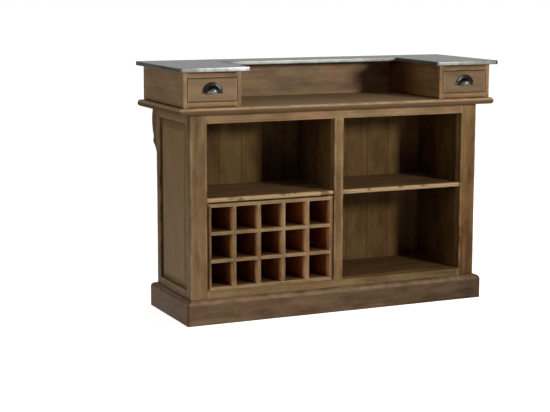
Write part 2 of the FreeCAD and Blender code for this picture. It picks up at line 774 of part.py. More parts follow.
rounded(left_top_board, "wing_board_corners", "zinc_corner_radius", lambda edge: is_upright(edge) and (
    edge.CenterOfMass.y < 0 or edge.CenterOfMass.x < -number("wing_inner + zinc_corner_radius")
))
mirrored("right_top_board", left_top_board)
board(
    "rear_top_board", ("-wing_inner - zinc_sheet", "wing_inner + zinc_sheet"),
    ("strip_front + zinc_sheet", "zinc_rear - zinc_sheet"), core_height,
)

# Wine rack: an egg-crate of boards halved into each other, in a case that stands in the left bay
rack_y = ("rack_front", "rack_rear")
rack_z = ("opening_bottom", "rack_top_face")
rack_inside = ("(rack_left + rack_board)", "(rack_right - rack_board)")
group("rack_sides", [
    board("rack_side_left", ("rack_left", rack_inside[0]), rack_y, rack_z),
    board("rack_side_right", (rack_inside[1], "rack_right"), rack_y, rack_z),
])
board("rack_top", rack_inside, rack_y, ("rack_top_face - rack_board", "rack_top_face"))
board("rack_bottom", rack_inside, rack_y, ("opening_bottom", "opening_bottom + rack_board"))
divider_faces = [
    (f"{rack_inside[0]} + {i} * cell_width + {i - 1} * rack_board",
     f"{rack_inside[0]} + {i} * (cell_width + rack_board)")
    for i in range(1, BOTTLE_COLUMNS)
]
shelf_faces = [
    (f"opening_bottom + {i} * (cell_height + rack_board)",
     f"opening_bottom + {i} * (cell_height + rack_board) + rack_board")
    for i in range(1, BOTTLE_ROWS)
]
crate_z = ("opening_bottom + rack_board", "rack_top_face - rack_board")
dividers = [
    cut(
        f"rack_divider_{i + 1}", board(f"rack_divider_{i + 1}_stock", x, rack_y, crate_z),
        [board(f"rack_divider_{i + 1}_slot_{k + 1}", x, ("rack_middle", "rack_rear"), z)
         for k, z in enumerate(shelf_faces)],
    )
    for i, x in enumerate(divider_faces)
]
rack_shelves = [
    cut(
        f"rack_shelf_{k + 1}", board(f"rack_shelf_{k + 1}_stock", rack_inside, rack_y, z),
        [board(f"rack_shelf_{k + 1}_slot_{i + 1}", x, ("rack_front", "rack_middle"), z)
         for i, x in enumerate(divider_faces)],
    )
    for k, z in enumerate(shelf_faces)
]
group("rack_dividers", dividers)
group("rack_shelves", rack_shelves)

# Drawers: inset fronts, sides dovetailed into them, a thin bottom in grooves, and a cast cup pull
drawer_x = ("-drawer_outer", "-drawer_inner")
drawer_side_x = {
    "outer": ("-drawer_outer", "drawer_side_thickness - drawer_outer"),
    "inner": ("-drawer_inner - drawer_side_thickness", "-drawer_inner"),
}
between_sides = (drawer_side_x["outer"][1], drawer_side_x["inner"][0])
drawer_bottom = board(
    "left_drawer_bottom",
    (f"{between_sides[0]} - drawer_groove_depth", f"{between_sides[1]} + drawer_groove_depth"),
    ("drawer_front_rear - drawer_groove_depth", "drawer_rear"),
    ("drawer_bottom_under", "drawer_bottom_top"),
)
tail_outline = [
    ("drawer_rear", "drawer_side_under"), ("drawer_rear", "drawer_side_top"),
    ("drawer_front_rear", "drawer_side_top"),
]
for i in reversed(range(DOVETAILS)):
    middle = f"drawer_side_under + {i + 0.5} * drawer_side_height / {DOVETAILS}"
    tail_outline += [
        ("drawer_front_rear", f"{middle} + dovetail_width / 2 - dovetail_flare"),
        ("drawer_front_rear - dovetail_length", f"{middle} + dovetail_width / 2"),
        ("drawer_front_rear - dovetail_length", f"{middle} - dovetail_width / 2"),
        ("drawer_front_rear", f"{middle} - dovetail_width / 2 + dovetail_flare"),
    ]
tail_outline.append(("drawer_front_rear", "drawer_side_under"))
side_stocks = []
for name, x in drawer_side_x.items():
    body = doc.addObject("PartDesign::Body", f"left_drawer_side_{name}_stock")
    padded(body, f"left_drawer_side_{name}_board", "YZ_Plane", tail_outline, *x)
    side_stocks.append(body)
drawer_front = cut(
    "left_drawer_front",
    board(
        "left_drawer_front_stock", drawer_x, ("box_front", "drawer_front_rear"),
        ("bay_bottom + drawer_front_gap", "bay_top - drawer_front_gap"),
    ),
    [drawer_bottom, *side_stocks],
)
drawer_sides = group("left_drawer_sides", [
    cut(f"left_drawer_side_{name}", stock, [drawer_bottom])
    for name, stock in zip(drawer_side_x, side_stocks)
])
drawer_back = board(
    "left_drawer_back", between_sides, ("drawer_rear - drawer_side_thickness", "drawer_rear"),
    ("drawer_bottom_top", "drawer_side_top - drawer_back_drop"),
)
cup_pull = doc.addObject("PartDesign::Body", "left_drawer_cup_pull")
pull_profile = drawn(cup_pull, "pull_profile", "XY_Plane", [
    ("pull_radius", "0"), ("pull_radius", "-pull_wall"),
    ("pull_rim_inner", "-pull_wall", "pull_flare_radius", "left"),
    ("pull_shoulder_radius", "-pull_shoulder_projection", "pull_dome_radius", "right"),
    ("0", "-pull_projection"),
    ("0", "pull_wall - pull_projection", "pull_dome_radius - pull_wall", "left"),
    ("pull_shoulder_radius * pull_inner_share",
     "pull_dome_centre - (pull_dome_centre + pull_shoulder_projection) * pull_inner_share"),
    ("pull_mouth_radius", "0"),
])
half_turn = cup_pull.newObject("PartDesign::Revolution", "pull_half_turn")
half_turn.Profile = pull_profile
half_turn.ReferenceAxis = (pull_profile, ["V_Axis"])
half_turn.Angle = 180
half_turn.Reversed = True
cup_pull.setExpression("Placement.Base.x", formula("-(bay_outer + bay_inner) / 2"))
cup_pull.setExpression("Placement.Base.y", formula("box_front"))
cup_pull.setExpression("Placement.Base.z", formula("pull_base"))
for piece in (drawer_front, drawer_sides, drawer_back, drawer_bottom, cup_pull):
    mirrored(piece.Name.replace("left", "right"), piece)

# The pieces as they come apart on a bench, each written to a file of its own
PIECES = [
    "plinth_front", "plinth_rear", "plinth_left", "plinth_right",
    "front_stile_left", "front_stile_right", "front_stile_centre", "front_rail_top", "front_rail_bottom",
    *(f"side_{hand}_{piece}" for hand in ("left", "right")
      for piece in ("front_stile", "rear_stile", "top_rail", "bottom_rail", "panel")),
    "rear_stile_left", "rear_stile_right", "rear_rail_top", "rear_rail_bottom", "rear_muntins",
    "rear_panels", "back_boards", "corbels",
    "bottom_board", "side_linings", "partition", "shelf_left", "shelf_right", "battens",
    "counter_top", "bar_back", "box_bottoms", "box_top_rails",
    *(f"{hand}_box_{side}_side" for hand in ("left", "right") for side in ("outer", "inner")),
    "left_top_board", "right_top_board", "rear_top_board", "zinc_top",
    "rack_sides", "rack_top", "rack_bottom", "rack_dividers", "rack_shelves",
    *(f"{hand}_drawer_{piece}" for hand in ("left", "right")
      for piece in ("front", "sides", "back", "bottom", "cup_pull")),
]
doc.recompute()
failed = [made.Label for made in doc.Objects if {"Invalid", "Error"} & set(made.State)]
if failed:
    raise RuntimeError("These did not build: " + ", ".join(failed))
os.makedirs("parts", exist_ok=True)
shapes = {}
for label in PIECES:
    shape = doc.getObjectsByLabel(label)[0].Shape
    if shape.isNull() or not shape.isValid() or not shape.Solids or shape.Volume <= 0:
        raise RuntimeError(label + " has no sound solid")
    shapes[label] = shape
for label, shape in shapes.items():
    shape.exportStep(f"parts/{label}.step")
whole = Part.makeCompound(list(shapes.values())).BoundBox
print(len(shapes), "pieces,", sum(len(shape.Solids) for shape in shapes.values()), "solids")
print("size", round(whole.XLength, 2), round(whole.YLength, 2), round(whole.ZLength, 2))
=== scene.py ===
import math

import bmesh
import bpy
import numpy as np
from mathutils import Matrix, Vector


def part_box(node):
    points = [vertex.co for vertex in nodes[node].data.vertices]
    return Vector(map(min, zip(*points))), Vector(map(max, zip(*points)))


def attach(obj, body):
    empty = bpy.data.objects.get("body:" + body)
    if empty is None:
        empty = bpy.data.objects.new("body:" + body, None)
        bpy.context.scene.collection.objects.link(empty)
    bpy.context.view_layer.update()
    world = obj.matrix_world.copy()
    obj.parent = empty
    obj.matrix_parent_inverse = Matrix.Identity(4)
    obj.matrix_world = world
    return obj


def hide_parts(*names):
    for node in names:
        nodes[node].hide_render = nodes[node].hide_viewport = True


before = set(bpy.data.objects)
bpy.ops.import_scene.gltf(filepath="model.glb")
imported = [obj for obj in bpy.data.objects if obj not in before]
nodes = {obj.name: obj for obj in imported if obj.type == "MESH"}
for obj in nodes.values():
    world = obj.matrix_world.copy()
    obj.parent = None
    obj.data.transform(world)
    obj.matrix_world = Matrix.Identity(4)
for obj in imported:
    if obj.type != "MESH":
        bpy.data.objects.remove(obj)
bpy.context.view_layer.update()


# Plinth
# Four mitred boards of old wood that stand on the floor round the foot of the carcase, glued and
# pinned to it. The top outer edge is a quarter round and the foot is eased.

def colour(red, green, blue):
    """The linear colour of a tone that is given as it looks on a screen, 0 to 255."""
    tone = np.array([red, green, blue]) / 255
    return (*np.where(tone <= 0.04045, tone / 12.92, ((tone + 0.055) / 1.055) ** 2.4), 1)


def wire(tree, kind, inputs=None, **settings):
    """A shader node with its settings, each input either a value or the socket that feeds it."""
    node = tree.nodes.new("ShaderNode" + kind)
    for key, value in settings.items():
        setattr(node, key, value)
    for key, value in (inputs or {}).items():
        if isinstance(value, bpy.types.NodeSocket):
            tree.links.new(value, node.inputs[key])
        else:
            node.inputs[key].default_value = value
    return node


def worked(tree, operation, *values, kind="Math"):
    """One step of arithmetic on sockets and numbers."""
    return wire(tree, kind, dict(enumerate(values)), operation=operation).outputs[0]


def weighed(tree, parts, constant=0.0):
    """The sum of sockets, each times its weight, plus a constant."""
    total = constant
    for socket, weight in parts:
        total = worked(tree, "MULTIPLY_ADD", socket, weight, total)
    return total


def mapped(tree, value, low, high, new_low=0.0, new_high=1.0):
    """A value carried from one range to another and held inside it."""
    return wire(tree, "MapRange", {0: value, 1: low, 2: high, 3: new_low, 4: new_high}).outputs[0]


def cloudy(tree, place, scale, detail, rough=0.5):
    """Noise over a place."""
    inputs = {"Vector": place, "Scale": scale, "Detail": detail, "Roughness": rough}
    return wire(tree, "TexNoise", inputs).outputs["Fac"]


def object_place(tree):
    """Object coordinates, which stay with the piece when its body moves."""
    return wire(tree, "TexCoord").outputs["Object"]


def painted(tree, name, output="Fac"):
    """What a mesh attribute holds at the point."""
    return wire(tree, "Attribute", attribute_name=name).outputs[output]


def ramp(tree, factor, *stops):
    """A colour ramp through (position, colour) stops."""
    node = wire(tree, "ValToRGB", {0: factor})
    elements = node.color_ramp.elements
    while len(elements) < len(stops):
        elements.new(0.5)
    for element, (position, tone) in zip(elements, stops):
        element.position = position
        element.color = tone
    return node.outputs[0]


def blended(tree, factor, first, second, blend="MIX"):
    """Two colours mixed by a factor."""
    inputs = {0: factor, 6: first, 7: second}
    return wire(tree, "Mix", inputs, data_type="RGBA", blend_type=blend).outputs[2]


def new_finish(name):
    """A new material, its node tree and its shader."""
    material = bpy.data.materials.new(name)
    material.use_nodes = True
    return material, material.node_tree, material.node_tree.nodes["Principled BSDF"]


def coated(tree, shader, surface, dull, relief, strength, distance):
    """The shader takes its colour and roughness from sockets and its bump from a relief."""
    bump = wire(tree, "Bump", {"Strength": strength, "Distance": distance, "Height": relief})
    for label, socket in (("Base Color", surface), ("Roughness", dull), ("Normal", bump.outputs[0])):
        tree.links.new(socket, shader.inputs[label])


# Turns that bring the grain onto X, tints that multiply the wood's colour, the tint of painted
# shade and grime, and for a hollow the painted shade at each share of its depth
GRAIN_ALONG = {"X": (0, 0, 0), "Y": (0, 0, -math.pi / 2), "Z": (0, math.pi / 2, 0)}
OLIVE, ORANGE, RUDDY = (0.96, 1.01, 0.88, 1), (1.07, 0.97, 0.96, 1), (1.1, 0.9, 0.62, 1)
SHADE_AND_DIRT = (0.42, 0.3, 0.24)
INWARD_SHADE = (
    (0.04, (1, 0.94, 0.9)), (0.2, (0.98, 0.86, 0.76)), (0.36, (0.42, 0.3, 0.2)), (1, (0.4, 0.22, 0.13)),
)


def old_wood(
    name, deep, middle, pale, worn, grain=None, roughness=0.5, patches=0.3, gloss=0.1, streaked=0.24,
    recess_shade=None, joints=None,
):
    """Waxed old wood as a solid pattern, so that faces, edges and ends agree.

    The pattern lies in the piece's own grain attribute, whose X runs along the board, or in
    Object coordinates turned so that X runs along the grain. Streaks and growth rings are
    stretched along X, patches drift slowly from olive to orange, and short dark pores break the
    surface. Above 0, the attribute of worn places and painted light bares paler wood, which on the
    counter's nose and the plinth's top round is partly a painted highlight; below 0 it paints
    shade along gaps, under overhangs and under the counter's nose, with some grime. The board
    attribute holds how pale and how ruddy the whole board is, and for some boards that tone is
    painted shade. The painted shade of a hollow is the Y where it starts, its depth and a gain;
    going in, the wood reddens a little, is painted lighter at the mouth where the gain is above 1,
    and then turns dark. Joints are the X of the first joint between upright boards and the
    boards' width: each board has a tone of its own, and each joint is a dark line.
    """
    material, tree, shader = new_finish(name)
    deep, middle, pale, worn = [colour(*tone) for tone in (deep, middle, pale, worn)]
    if grain:
        turned = {"Vector": object_place(tree), "Rotation": GRAIN_ALONG[grain]}
        place = wire(tree, "Mapping", turned).outputs[0]
    else:
        place = painted(tree, "grain", "Vector")

    def stretched(share, shift):
        """place (share, 1, 1) + shift, drawn out along the grain."""
        along = worked(tree, "MULTIPLY", place, (share, 1, 1), kind="VectorMath")
        return worked(tree, "ADD", along, (shift, shift, shift), kind="VectorMath")

    def drawn_out(share, scale, detail, shift=0.0, rough=0.55):
        """Noise over the stretched place, shifted so that no two layers agree."""
        return cloudy(tree, stretched(share, shift), scale, detail, rough)

    streaks = drawn_out(0.08, 48, 5, rough=0.6)
    fine = drawn_out(0.04, 260, 3, 3.1)
    clouds = drawn_out(0.45, 15, 4, 7.7, 0.6)
    hue = drawn_out(0.5, 9, 3, 13.0)
    pores = drawn_out(0.05, 620, 2, 5.3)
    rings = wire(tree, "TexWave", {
        "Vector": stretched(0.09, 0), "Scale": 26, "Distortion": 5.5, "Detail": 3,
        "Detail Scale": 1.4, "Detail Roughness": 0.6,
    }, wave_type="RINGS", rings_direction="X").outputs["Fac"]
    board = wire(tree, "SeparateXYZ", {0: painted(tree, "board", "Vector")})
    tone = weighed(tree, [
        (streaks, streaked), (fine, 0.5 * streaked), (rings, 0.2 * streaked), (clouds, patches),
        (board.outputs["X"], 0.08),
    ], 0.5 - 0.5 * (1.7 * streaked + patches))
    if joints:
        across = wire(tree, "SeparateXYZ", {0: object_place(tree)}).outputs["X"]
        across = weighed(tree, [(across, 1 / joints[1])], -joints[0] / joints[1])
        own = wire(tree, "TexWhiteNoise", {"W": worked(tree, "FLOOR", across)}, noise_dimensions="1D")
        tone = weighed(tree, [(tone, 1), (own.outputs["Value"], 0.1)], -0.05)
    surface = ramp(tree, tone, (0.3, deep), (0.48, middle), (0.7, pale))
    drift = ramp(tree, hue, (0.36, OLIVE), (0.5, (1, 1, 1, 1)), (0.64, ORANGE))
    surface = blended(tree, 1.0, surface, drift, "MULTIPLY")
    surface = blended(tree, board.outputs["Y"], surface, RUDDY, "MULTIPLY")
    pitted = mapped(tree, pores, 0.6, 0.7, 0.0, 2 * streaked)
    surface = blended(tree, pitted, surface, deep)
    # Above 0, paler bared wood, which on the counter's nose and the plinth's top round is partly a
    # painted highlight; below 0, painted shade along gaps, under overhangs and under the counter's
    # nose, with some grime.
    wear_and_painted_light = painted(tree, "wear_and_painted_light")
    patchy = mapped(tree, drawn_out(0.6, 26, 3, 1.9), 0.36, 0.62)
    bared_and_highlit = worked(tree, "MULTIPLY", worked(tree, "MULTIPLY", wear_and_painted_light, patchy), 0.75)
    surface = blended(tree, bared_and_highlit, surface, worn)
    shade_and_dirt = mapped(tree, wear_and_painted_light, 0.0, -1.0, 0.0, 0.9)
    surface = blended(tree, shade_and_dirt, surface, (*np.multiply(SHADE_AND_DIRT, deep[:3]), 1))
    if joints:
        share = worked(tree, "SUBTRACT", worked(tree, "FRACT", across), 0.5)
        line = mapped(tree, worked(tree, "ABSOLUTE", share), 0.47, 0.495, 0.0, 0.32)
        surface = blended(tree, line, surface, deep)
    # Painted shade inside a hollow: going in, the wood reddens and darkens; a gain above 1 also paints
    # the mouth lighter.
    if recess_shade:
        start, depth, gain = recess_shade
        inward = wire(tree, "SeparateXYZ", {0: object_place(tree)}).outputs["Y"]
        shade = ramp(tree, mapped(tree, inward, start, start + depth), (0, (1, 1, 1, 1)), *[
            (share, (*np.multiply(gain, levels), 1)) for share, levels in INWARD_SHADE
        ])
        surface = blended(tree, 1.0, surface, shade, "MULTIPLY")
    dull = weighed(tree, [(streaks, 0.3), (pitted, 0.3), (shade_and_dirt, 0.4)], roughness - 0.15)
    relief = weighed(tree, [(fine, 0.5), (streaks, 0.35), (pitted, -0.6)])
    coated(tree, shader, surface, dull, relief, 0.35, 0.0008)
    shader.inputs["Specular IOR Level"].default_value = gloss
    return material


def ways(corners):
    """The length of the edge after each corner, and the unit ways into and out of the corner."""
    edge = np.roll(corners, -1, 0) - corners
    length = np.linalg.norm(edge, axis=1)
    leaving = edge / length[:, None]
    return length, np.roll(leaving, 1, 0), leaving


# Lengths are in metres, and each wave is its length and its part in the swing of the arris
STATION = 0.011
ARC = np.radians(np.arange(0, 91, 15))
END_TURN = np.radians([90, 60, 30])
WAVES = ((0.23, 0.6), (0.071, 0.4))
SWING = 0.0006
KNOCKS_PER_METRE = 9
KNOCK_WIDTH = (0.006, 0.016)
KNOCK_DEPTH = 0.0022
ARRIS_SHARE, RIM_SHARE = 0.46, 0.48
RIM = 0.009


def worn_bar(outline, along, ends, arris, seed, end_arris=0.0012, marks=1.0, end_marks=1.0, board=None):
    """A bar with one outline all the way, its arrises eased and a little worn.

    The outline's corners run anticlockwise in the two axes after the length's own. Each is rounded
    as centre + R (arriving sin t - leaving cos t), with R the arris plus two slow sine waves
    and a few knocks exp(-((s - knock) / width)^2) along the length s. The two corners of an edge
    share its room as their arrises do. Towards each end every point moves in along its normal by
    E (1 - cos a) while s comes E sin a closer to it. The tone and warmth of the board are one
    pair, or a pair at either end that changes evenly between.
    """
    random = np.random.default_rng(seed)
    corners = np.array(outline, float)
    count = len(corners)
    length, arriving, leaving = ways(corners)
    turn = np.sign(arriving[:, 0] * leaving[:, 1] - arriving[:, 1] * leaving[:, 0])
    arris, marks = [np.broadcast_to(np.asarray(given, float), count) for given in (arris, marks)]
    ahead = length * arris / (arris + np.roll(arris, -1))
    room = 2 * np.minimum(ahead, np.roll(length - ahead, 1))

    span = ends[1] - ends[0]
    near = end_arris * (1 - np.sin(END_TURN))
    middle = np.linspace(end_arris, span - end_arris, max(3, round(span / STATION)))
    s = np.concatenate([near, middle, span - near[::-1]])
    inset = end_arris * (1 - np.cos(END_TURN))
    inset = np.concatenate([inset, 0 * middle, inset[::-1]])
    swing = np.minimum(0.35 * arris, SWING)
    phase = random.uniform(0, 2 * np.pi, (2, count))
    radius = arris + swing * sum(
        np.sin(2 * np.pi * s[:, None] / wave + start) * share
        for (wave, share), start in zip(WAVES, phase)
    )
    knocks = max(1, round(span * KNOCKS_PER_METRE))
    place = random.uniform(0, span, knocks)
    width = random.uniform(*KNOCK_WIDTH, knocks)
    depth = random.uniform(0.2, 1.0, knocks) ** 2 * KNOCK_DEPTH
    hit = np.eye(count)[random.integers(0, count, knocks)] * (marks > 0.5)
    radius = radius + (depth * np.exp(-(((s[:, None] - place) / width) ** 2))) @ hit
    radius = np.clip(radius, 1.05 * np.minimum(end_arris, 0.4 * room), ARRIS_SHARE * room)
    rim = np.clip(RIM_SHARE * room - radius, 0, RIM)

    centre = corners + radius[..., None] * (leaving - arriving)
    outward = arriving[:, None] * np.sin(ARC)[:, None] - leaving[:, None] * np.cos(ARC)[:, None]
    arc = centre[:, :, None] + radius[:, :, None, None] * outward
    reach = (radius + rim)[..., None]
    before, after = corners - reach * arriving, corners + reach * leaving
    points = np.concatenate([before[:, :, None], arc, after[:, :, None]], axis=2)
    right_of = np.array([[0, -1], [1, 0]])
    normals = np.concatenate([
        (arriving @ right_of)[:, None], outward * turn[:, None, None], (leaving @ right_of)[:, None],
    ], axis=1)
    points = points - inset[:, None, None, None] * normals
    around = points.reshape(len(s), -1, 2)

    across = np.concatenate([[0, 0.5], np.ones(len(ARC) - 2), [0.5, 0]]) * marks[:, None]
    endwise = np.concatenate([[0.5, 1, 1, 0.6], np.zeros(len(middle) - 2), [0.6, 1, 1, 0.5]])
    wear_and_painted_light = across.reshape(-1) * (1 - endwise[:, None]) + end_marks * endwise[:, None]
    core = (corners.min(0) + corners.max(0)) / 2
    caps = core + 0.8 * (around[[0, -1]] - core)
    around = np.concatenate([caps[:1], around, caps[1:]])
    s = np.concatenate([s[:1], s, s[-1:]])
    wear_and_painted_light = np.pad(wear_and_painted_light, ((1, 1), (0, 0)))

    axis = "XYZ".index(along)
    rings = np.empty((*around.shape[:2], 3))
    rings[..., axis] = ends[0] + s[:, None]
    rings[..., (axis + 1) % 3] = around[..., 0]
    rings[..., (axis + 2) % 3] = around[..., 1]
    thin = np.argmin(corners.max(0) - corners.min(0))
    pith = random.uniform(-0.02, 0.02, 2)
    pith[thin] = random.choice([-1, 1]) * random.uniform(0.035, 0.09)
    grain = np.empty_like(rings)
    grain[..., 0] = s[:, None] + random.uniform(0, 40)
    grain[..., 1:] = around - core + pith
    drawn = (random.uniform(-1, 1), 0)
    at_ends = np.broadcast_to(board or drawn, (2, 2))
    board = at_ends[0] + (s / span)[:, None, None] * (at_ends[1] - at_ends[0])
    return loft(rings, wear_and_painted_light, grain, board)


def loft(rings, wear_and_painted_light, grain, board):
    """Walls from each ring of points to the next and a flat face on the first and last ring."""
    count, around = rings.shape[:2]
    i = np.arange(count - 1)[:, None] * around
    k = np.arange(around)
    j = (k + 1) % around
    walls = np.stack([i + k, i + j, i + around + j, i + around + k], axis=-1).reshape(-1, 4)
    faces = walls.tolist() + [k[::-1].tolist(), (k + (count - 1) * around).tolist()]
    wear_and_painted_light = np.broadcast_to(wear_and_painted_light, (count, around)).reshape(-1)
    board = np.broadcast_to(board, (count, around, 2))
    board = np.pad(board, ((0, 0), (0, 0), (0, 1))).reshape(-1, 3)
    return rings.reshape(-1, 3), faces, wear_and_painted_light, grain.reshape(-1, 3), board


ARRIS = 0.0016
SLIM_ARRIS = 0.0013
JOINT_ARRIS = 0.0004


def worn_board(low, high, along, seed, arris=ARRIS, **more):
    """A worn bar with a rectangular outline, between two corners."""
    axis = "XYZ".index(along)
    b, c = (axis + 1) % 3, (axis + 2) % 3
    outline = [(low[b], low[c]), (high[b], low[c]), (high[b], high[c]), (low[b], high[c])]
    return worn_bar(outline, along, (low[axis], high[axis]), arris, seed, **more)


def new_object(name, data):
    """A new object of the scene that holds a mesh, a lamp or a camera."""
    holder = bpy.data.objects.new(name, data)
    bpy.context.scene.collection.objects.link(holder)
    return holder


SHARP = math.radians(50)


def made_piece(name, parts, material, replaced=(), body="carcase"):
    """One object of closed parts, shaded smooth up to the sharp angle, riding on its body."""
    mesh = bpy.data.meshes.new(name)
    points, faces, wear_and_painted_light, grain, board = zip(*parts)
    starts = np.cumsum([0] + [len(part) for part in points])
    faces = [[k + start for k in face] for start, part in zip(starts, faces) for face in part]
    mesh.from_pydata(np.concatenate(points).tolist(), [], faces)
    for label, kind, field, values in (
        ("wear_and_painted_light", "FLOAT", "value", wear_and_painted_light), ("grain", "FLOAT_VECTOR", "vector", grain),
        ("board", "FLOAT_VECTOR", "vector", board),
    ):
        layer = mesh.attributes.new(label, kind, "POINT")
        layer.data.foreach_set(field, np.concatenate(values).astype(np.float32).ravel())
    work = bmesh.new()
    work.from_mesh(mesh)
    bmesh.ops.remove_doubles(work, verts=work.verts, dist=1e-7)
    bmesh.ops.recalc_face_normals(work, faces=work.faces)
    work.to_mesh(mesh)
    work.free()
    mesh.shade_smooth()
    mesh.set_sharp_from_angle(angle=SHARP)
    mesh.materials.append(material)
    piece = new_object(name, mesh)
    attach(piece, body)
    if replaced:
        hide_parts(*replaced)


PLINTH_ROUND = 0.018
plinth_wood = old_wood(
    "plinth wood", (52, 38, 25), (92, 71, 50), (122, 98, 72), (160, 134, 103), patches=0.6,
)


def plinth_board(node, along, end, inner_face, half, seed, board):
    """A worn bar whose length grows with the distance out from the carcase, which mitres its ends.

    s' = s (half + out) / half, with out measured from the inner face of the board.
    """
    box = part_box(node)
    axis = "XYZ".index(along)
    outer_face = box[end][1 - axis]
    outward = np.sign(outer_face - inner_face)
    top = box[1].z
    outline = [(inner_face, 0), (outer_face, 0), (outer_face, top), (inner_face, top)]
    if along == "Y":
        outline = [corner[::-1] for corner in outline]
    # The top round is paler, partly worn and partly a painted highlight; the outer arris of the foot
    # and the mitred ends are darker.
    arris, marks = [SLIM_ARRIS, ARRIS, PLINTH_ROUND, SLIM_ARRIS], [0, -0.5, 0.6, 0]
    if (outward > 0) != (along == "X"):
        outline, arris, marks = outline[::-1], arris[::-1], marks[::-1]
    middle = (box[0][axis] + box[1][axis]) / 2
    points, *others = worn_bar(
        outline, along, (middle - half, middle + half), arris, seed, end_arris=0.0009, marks=marks,
        end_marks=-0.8, board=board,
    )
    out = np.clip(outward * (points[:, 1 - axis] - inner_face), 0, abs(outer_face - inner_face))
    points[:, axis] = middle + (points[:, axis] - middle) * (half + out) / half
    return points, *others


stile_low, stile_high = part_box("front_stile_left")
rear_low, rear_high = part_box("rear_stile_left")
carcase_half = -stile_low.x
depth_half = (rear_high.y - stile_low.y) / 2
for node, *placed in (
    # The front board's tone darkens from left to right: painted shade.
    ("plinth_front", "X", 0, stile_low.y, carcase_half, 11, ((0.9, 0), (-1.1, 0))),
    ("plinth_rear", "X", 1, rear_high.y, carcase_half, 12, None),
    ("plinth_left", "Y", 0, -carcase_half, depth_half, 13, (0.5, 0.45)),
    ("plinth_right", "Y", 1, carcase_half, depth_half, 14, None),
):
    made_piece(node + "_board", [plinth_board(node, *placed)], plinth_wood, [node])


# Face frame on the server's side
# Two outer stiles down to the floor, a square centre stile and two rails, mortised and tenoned.
# The outer stiles are rebated at the back for the side frames, so their outline is an L.

def board_piece(name, node, wood, slot, low, high, along, seed, body="carcase", **more):
    """A piece that is one worn board and stands for one node."""
    made_piece(name, [worn_board(low, high, along, seed, **more)], wood, [node], body)


frame_wood = old_wood(
    "frame wood", (76, 55, 33), (124, 98, 65), (156, 128, 93), (172, 145, 110), patches=0.48,
)
opening_half = -stile_high.x
flank_low, flank_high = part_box("side_left_front_stile")
# The right stile's darker tone, darkest at its foot, is painted shade.
for hand, sign, seed, board in (
    ("left", -1, 21, ((0.1, 0), (-1.7, 0))), ("right", 1, 22, ((-2.5, 1), (-0.4, 0.4))),
):
    outline = [
        (sign * carcase_half, stile_low.y), (sign * opening_half, stile_low.y),
        (sign * opening_half, stile_high.y), (-sign * flank_high.x, stile_high.y),
        (-sign * flank_high.x, flank_low.y), (sign * carcase_half, flank_low.y),
    ]
    arris, marks = [ARRIS] * 4 + [JOINT_ARRIS] * 2, [1] * 4 + [0] * 2
    stile = worn_bar(
        outline[::-sign], "Z", (0, stile_high.z), arris[::-sign], seed, marks=marks[::-sign],
        board=board,
    )
    made_piece(f"outer_stile_{hand}", [stile], frame_wood, [f"front_stile_{hand}"])
rail_low, rail_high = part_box("front_rail_bottom")
top_low, top_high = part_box("front_rail_top")
CENTRE_HALF = 0.0195
board_piece(
    "centre_stile", "front_stile_centre", frame_wood, "frame_wood",
    (-CENTRE_HALF, stile_low.y, rail_high.z), (CENTRE_HALF, stile_high.y, top_low.z), "Z", 23,
    board=(-0.5, 0.2),
)
# The bottom rail's tone darkens from left to right: painted shade, as on the plinth's front.
for name, low, high, seed, board, front_upper in (
    ("top", top_low, top_high, 24, (0.1, 0), 1),
    ("bottom", rail_low, rail_high, 25, ((0.5, 0), (-1.5, 0)), -0.5),
):
    board_piece(
        f"front_{name}_rail", f"front_rail_{name}", frame_wood, "frame_wood",
        (-opening_half, stile_low.y, low.z), (opening_half, stile_high.y, high.z), "X", seed,
        marks=[0.5, 1, 1, front_upper], board=board,
    )


# Side frames and their raised panels
# Narrow stiles and rails grooved for one panel each side. The panel is a single wide board with
# a bevel on every edge that runs down to a tongue and leaves a flat field in the middle.

panel_wood = old_wood(
    "panel wood", (82, 61, 38), (127, 102, 68), (150, 125, 89), (164, 139, 104), roughness=0.55,
)
SIDE_STEPS = 24
TONGUE_REACH = 0.008
BEVEL = 0.034
FIELD_STEP = 0.0015


def raised_panel(centre, half_width, half_height, profile, facing, seed, board=None):
    """Rectangles that grow by the offset and rise by the level of each row of a profile.

    A row is (offset, level, and a value of worn places and painted light), and a point of its
    ring is ((half width + offset) u, (half height + offset) v), where (u, v) goes anticlockwise
    round the edge of a square. Width runs along the wall, height along Z, and the level along the
    facing direction, such as ("X", -1) for a panel on the left side.
    """
    random = np.random.default_rng(seed)
    axis, sign = "XY".index(facing[0]), facing[1]
    pith = random.uniform(0.05, 0.09)
    t = np.linspace(-1, 1, SIDE_STEPS, endpoint=False)
    one = np.ones(SIDE_STEPS)
    offset, level, wear_and_painted_light = np.array(profile).T[..., None]
    across = (half_width + offset) * np.concatenate([t, one, -t, -one])
    rings = np.empty((*across.shape, 3))
    rings[..., axis] = centre[axis] + sign * level
    rings[..., 1 - axis] = centre[1 - axis] + across
    rings[..., 2] = centre[2] + (half_height + offset) * np.concatenate([-one, t, one, -t])
    into = np.broadcast_to(level + pith, across.shape)
    grain = np.stack([rings[..., 2] + seed, across, into], axis=-1)
    drawn = (random.uniform(-0.5, 0.5), 0)
    return loft(rings, wear_and_painted_light, grain, board or drawn)


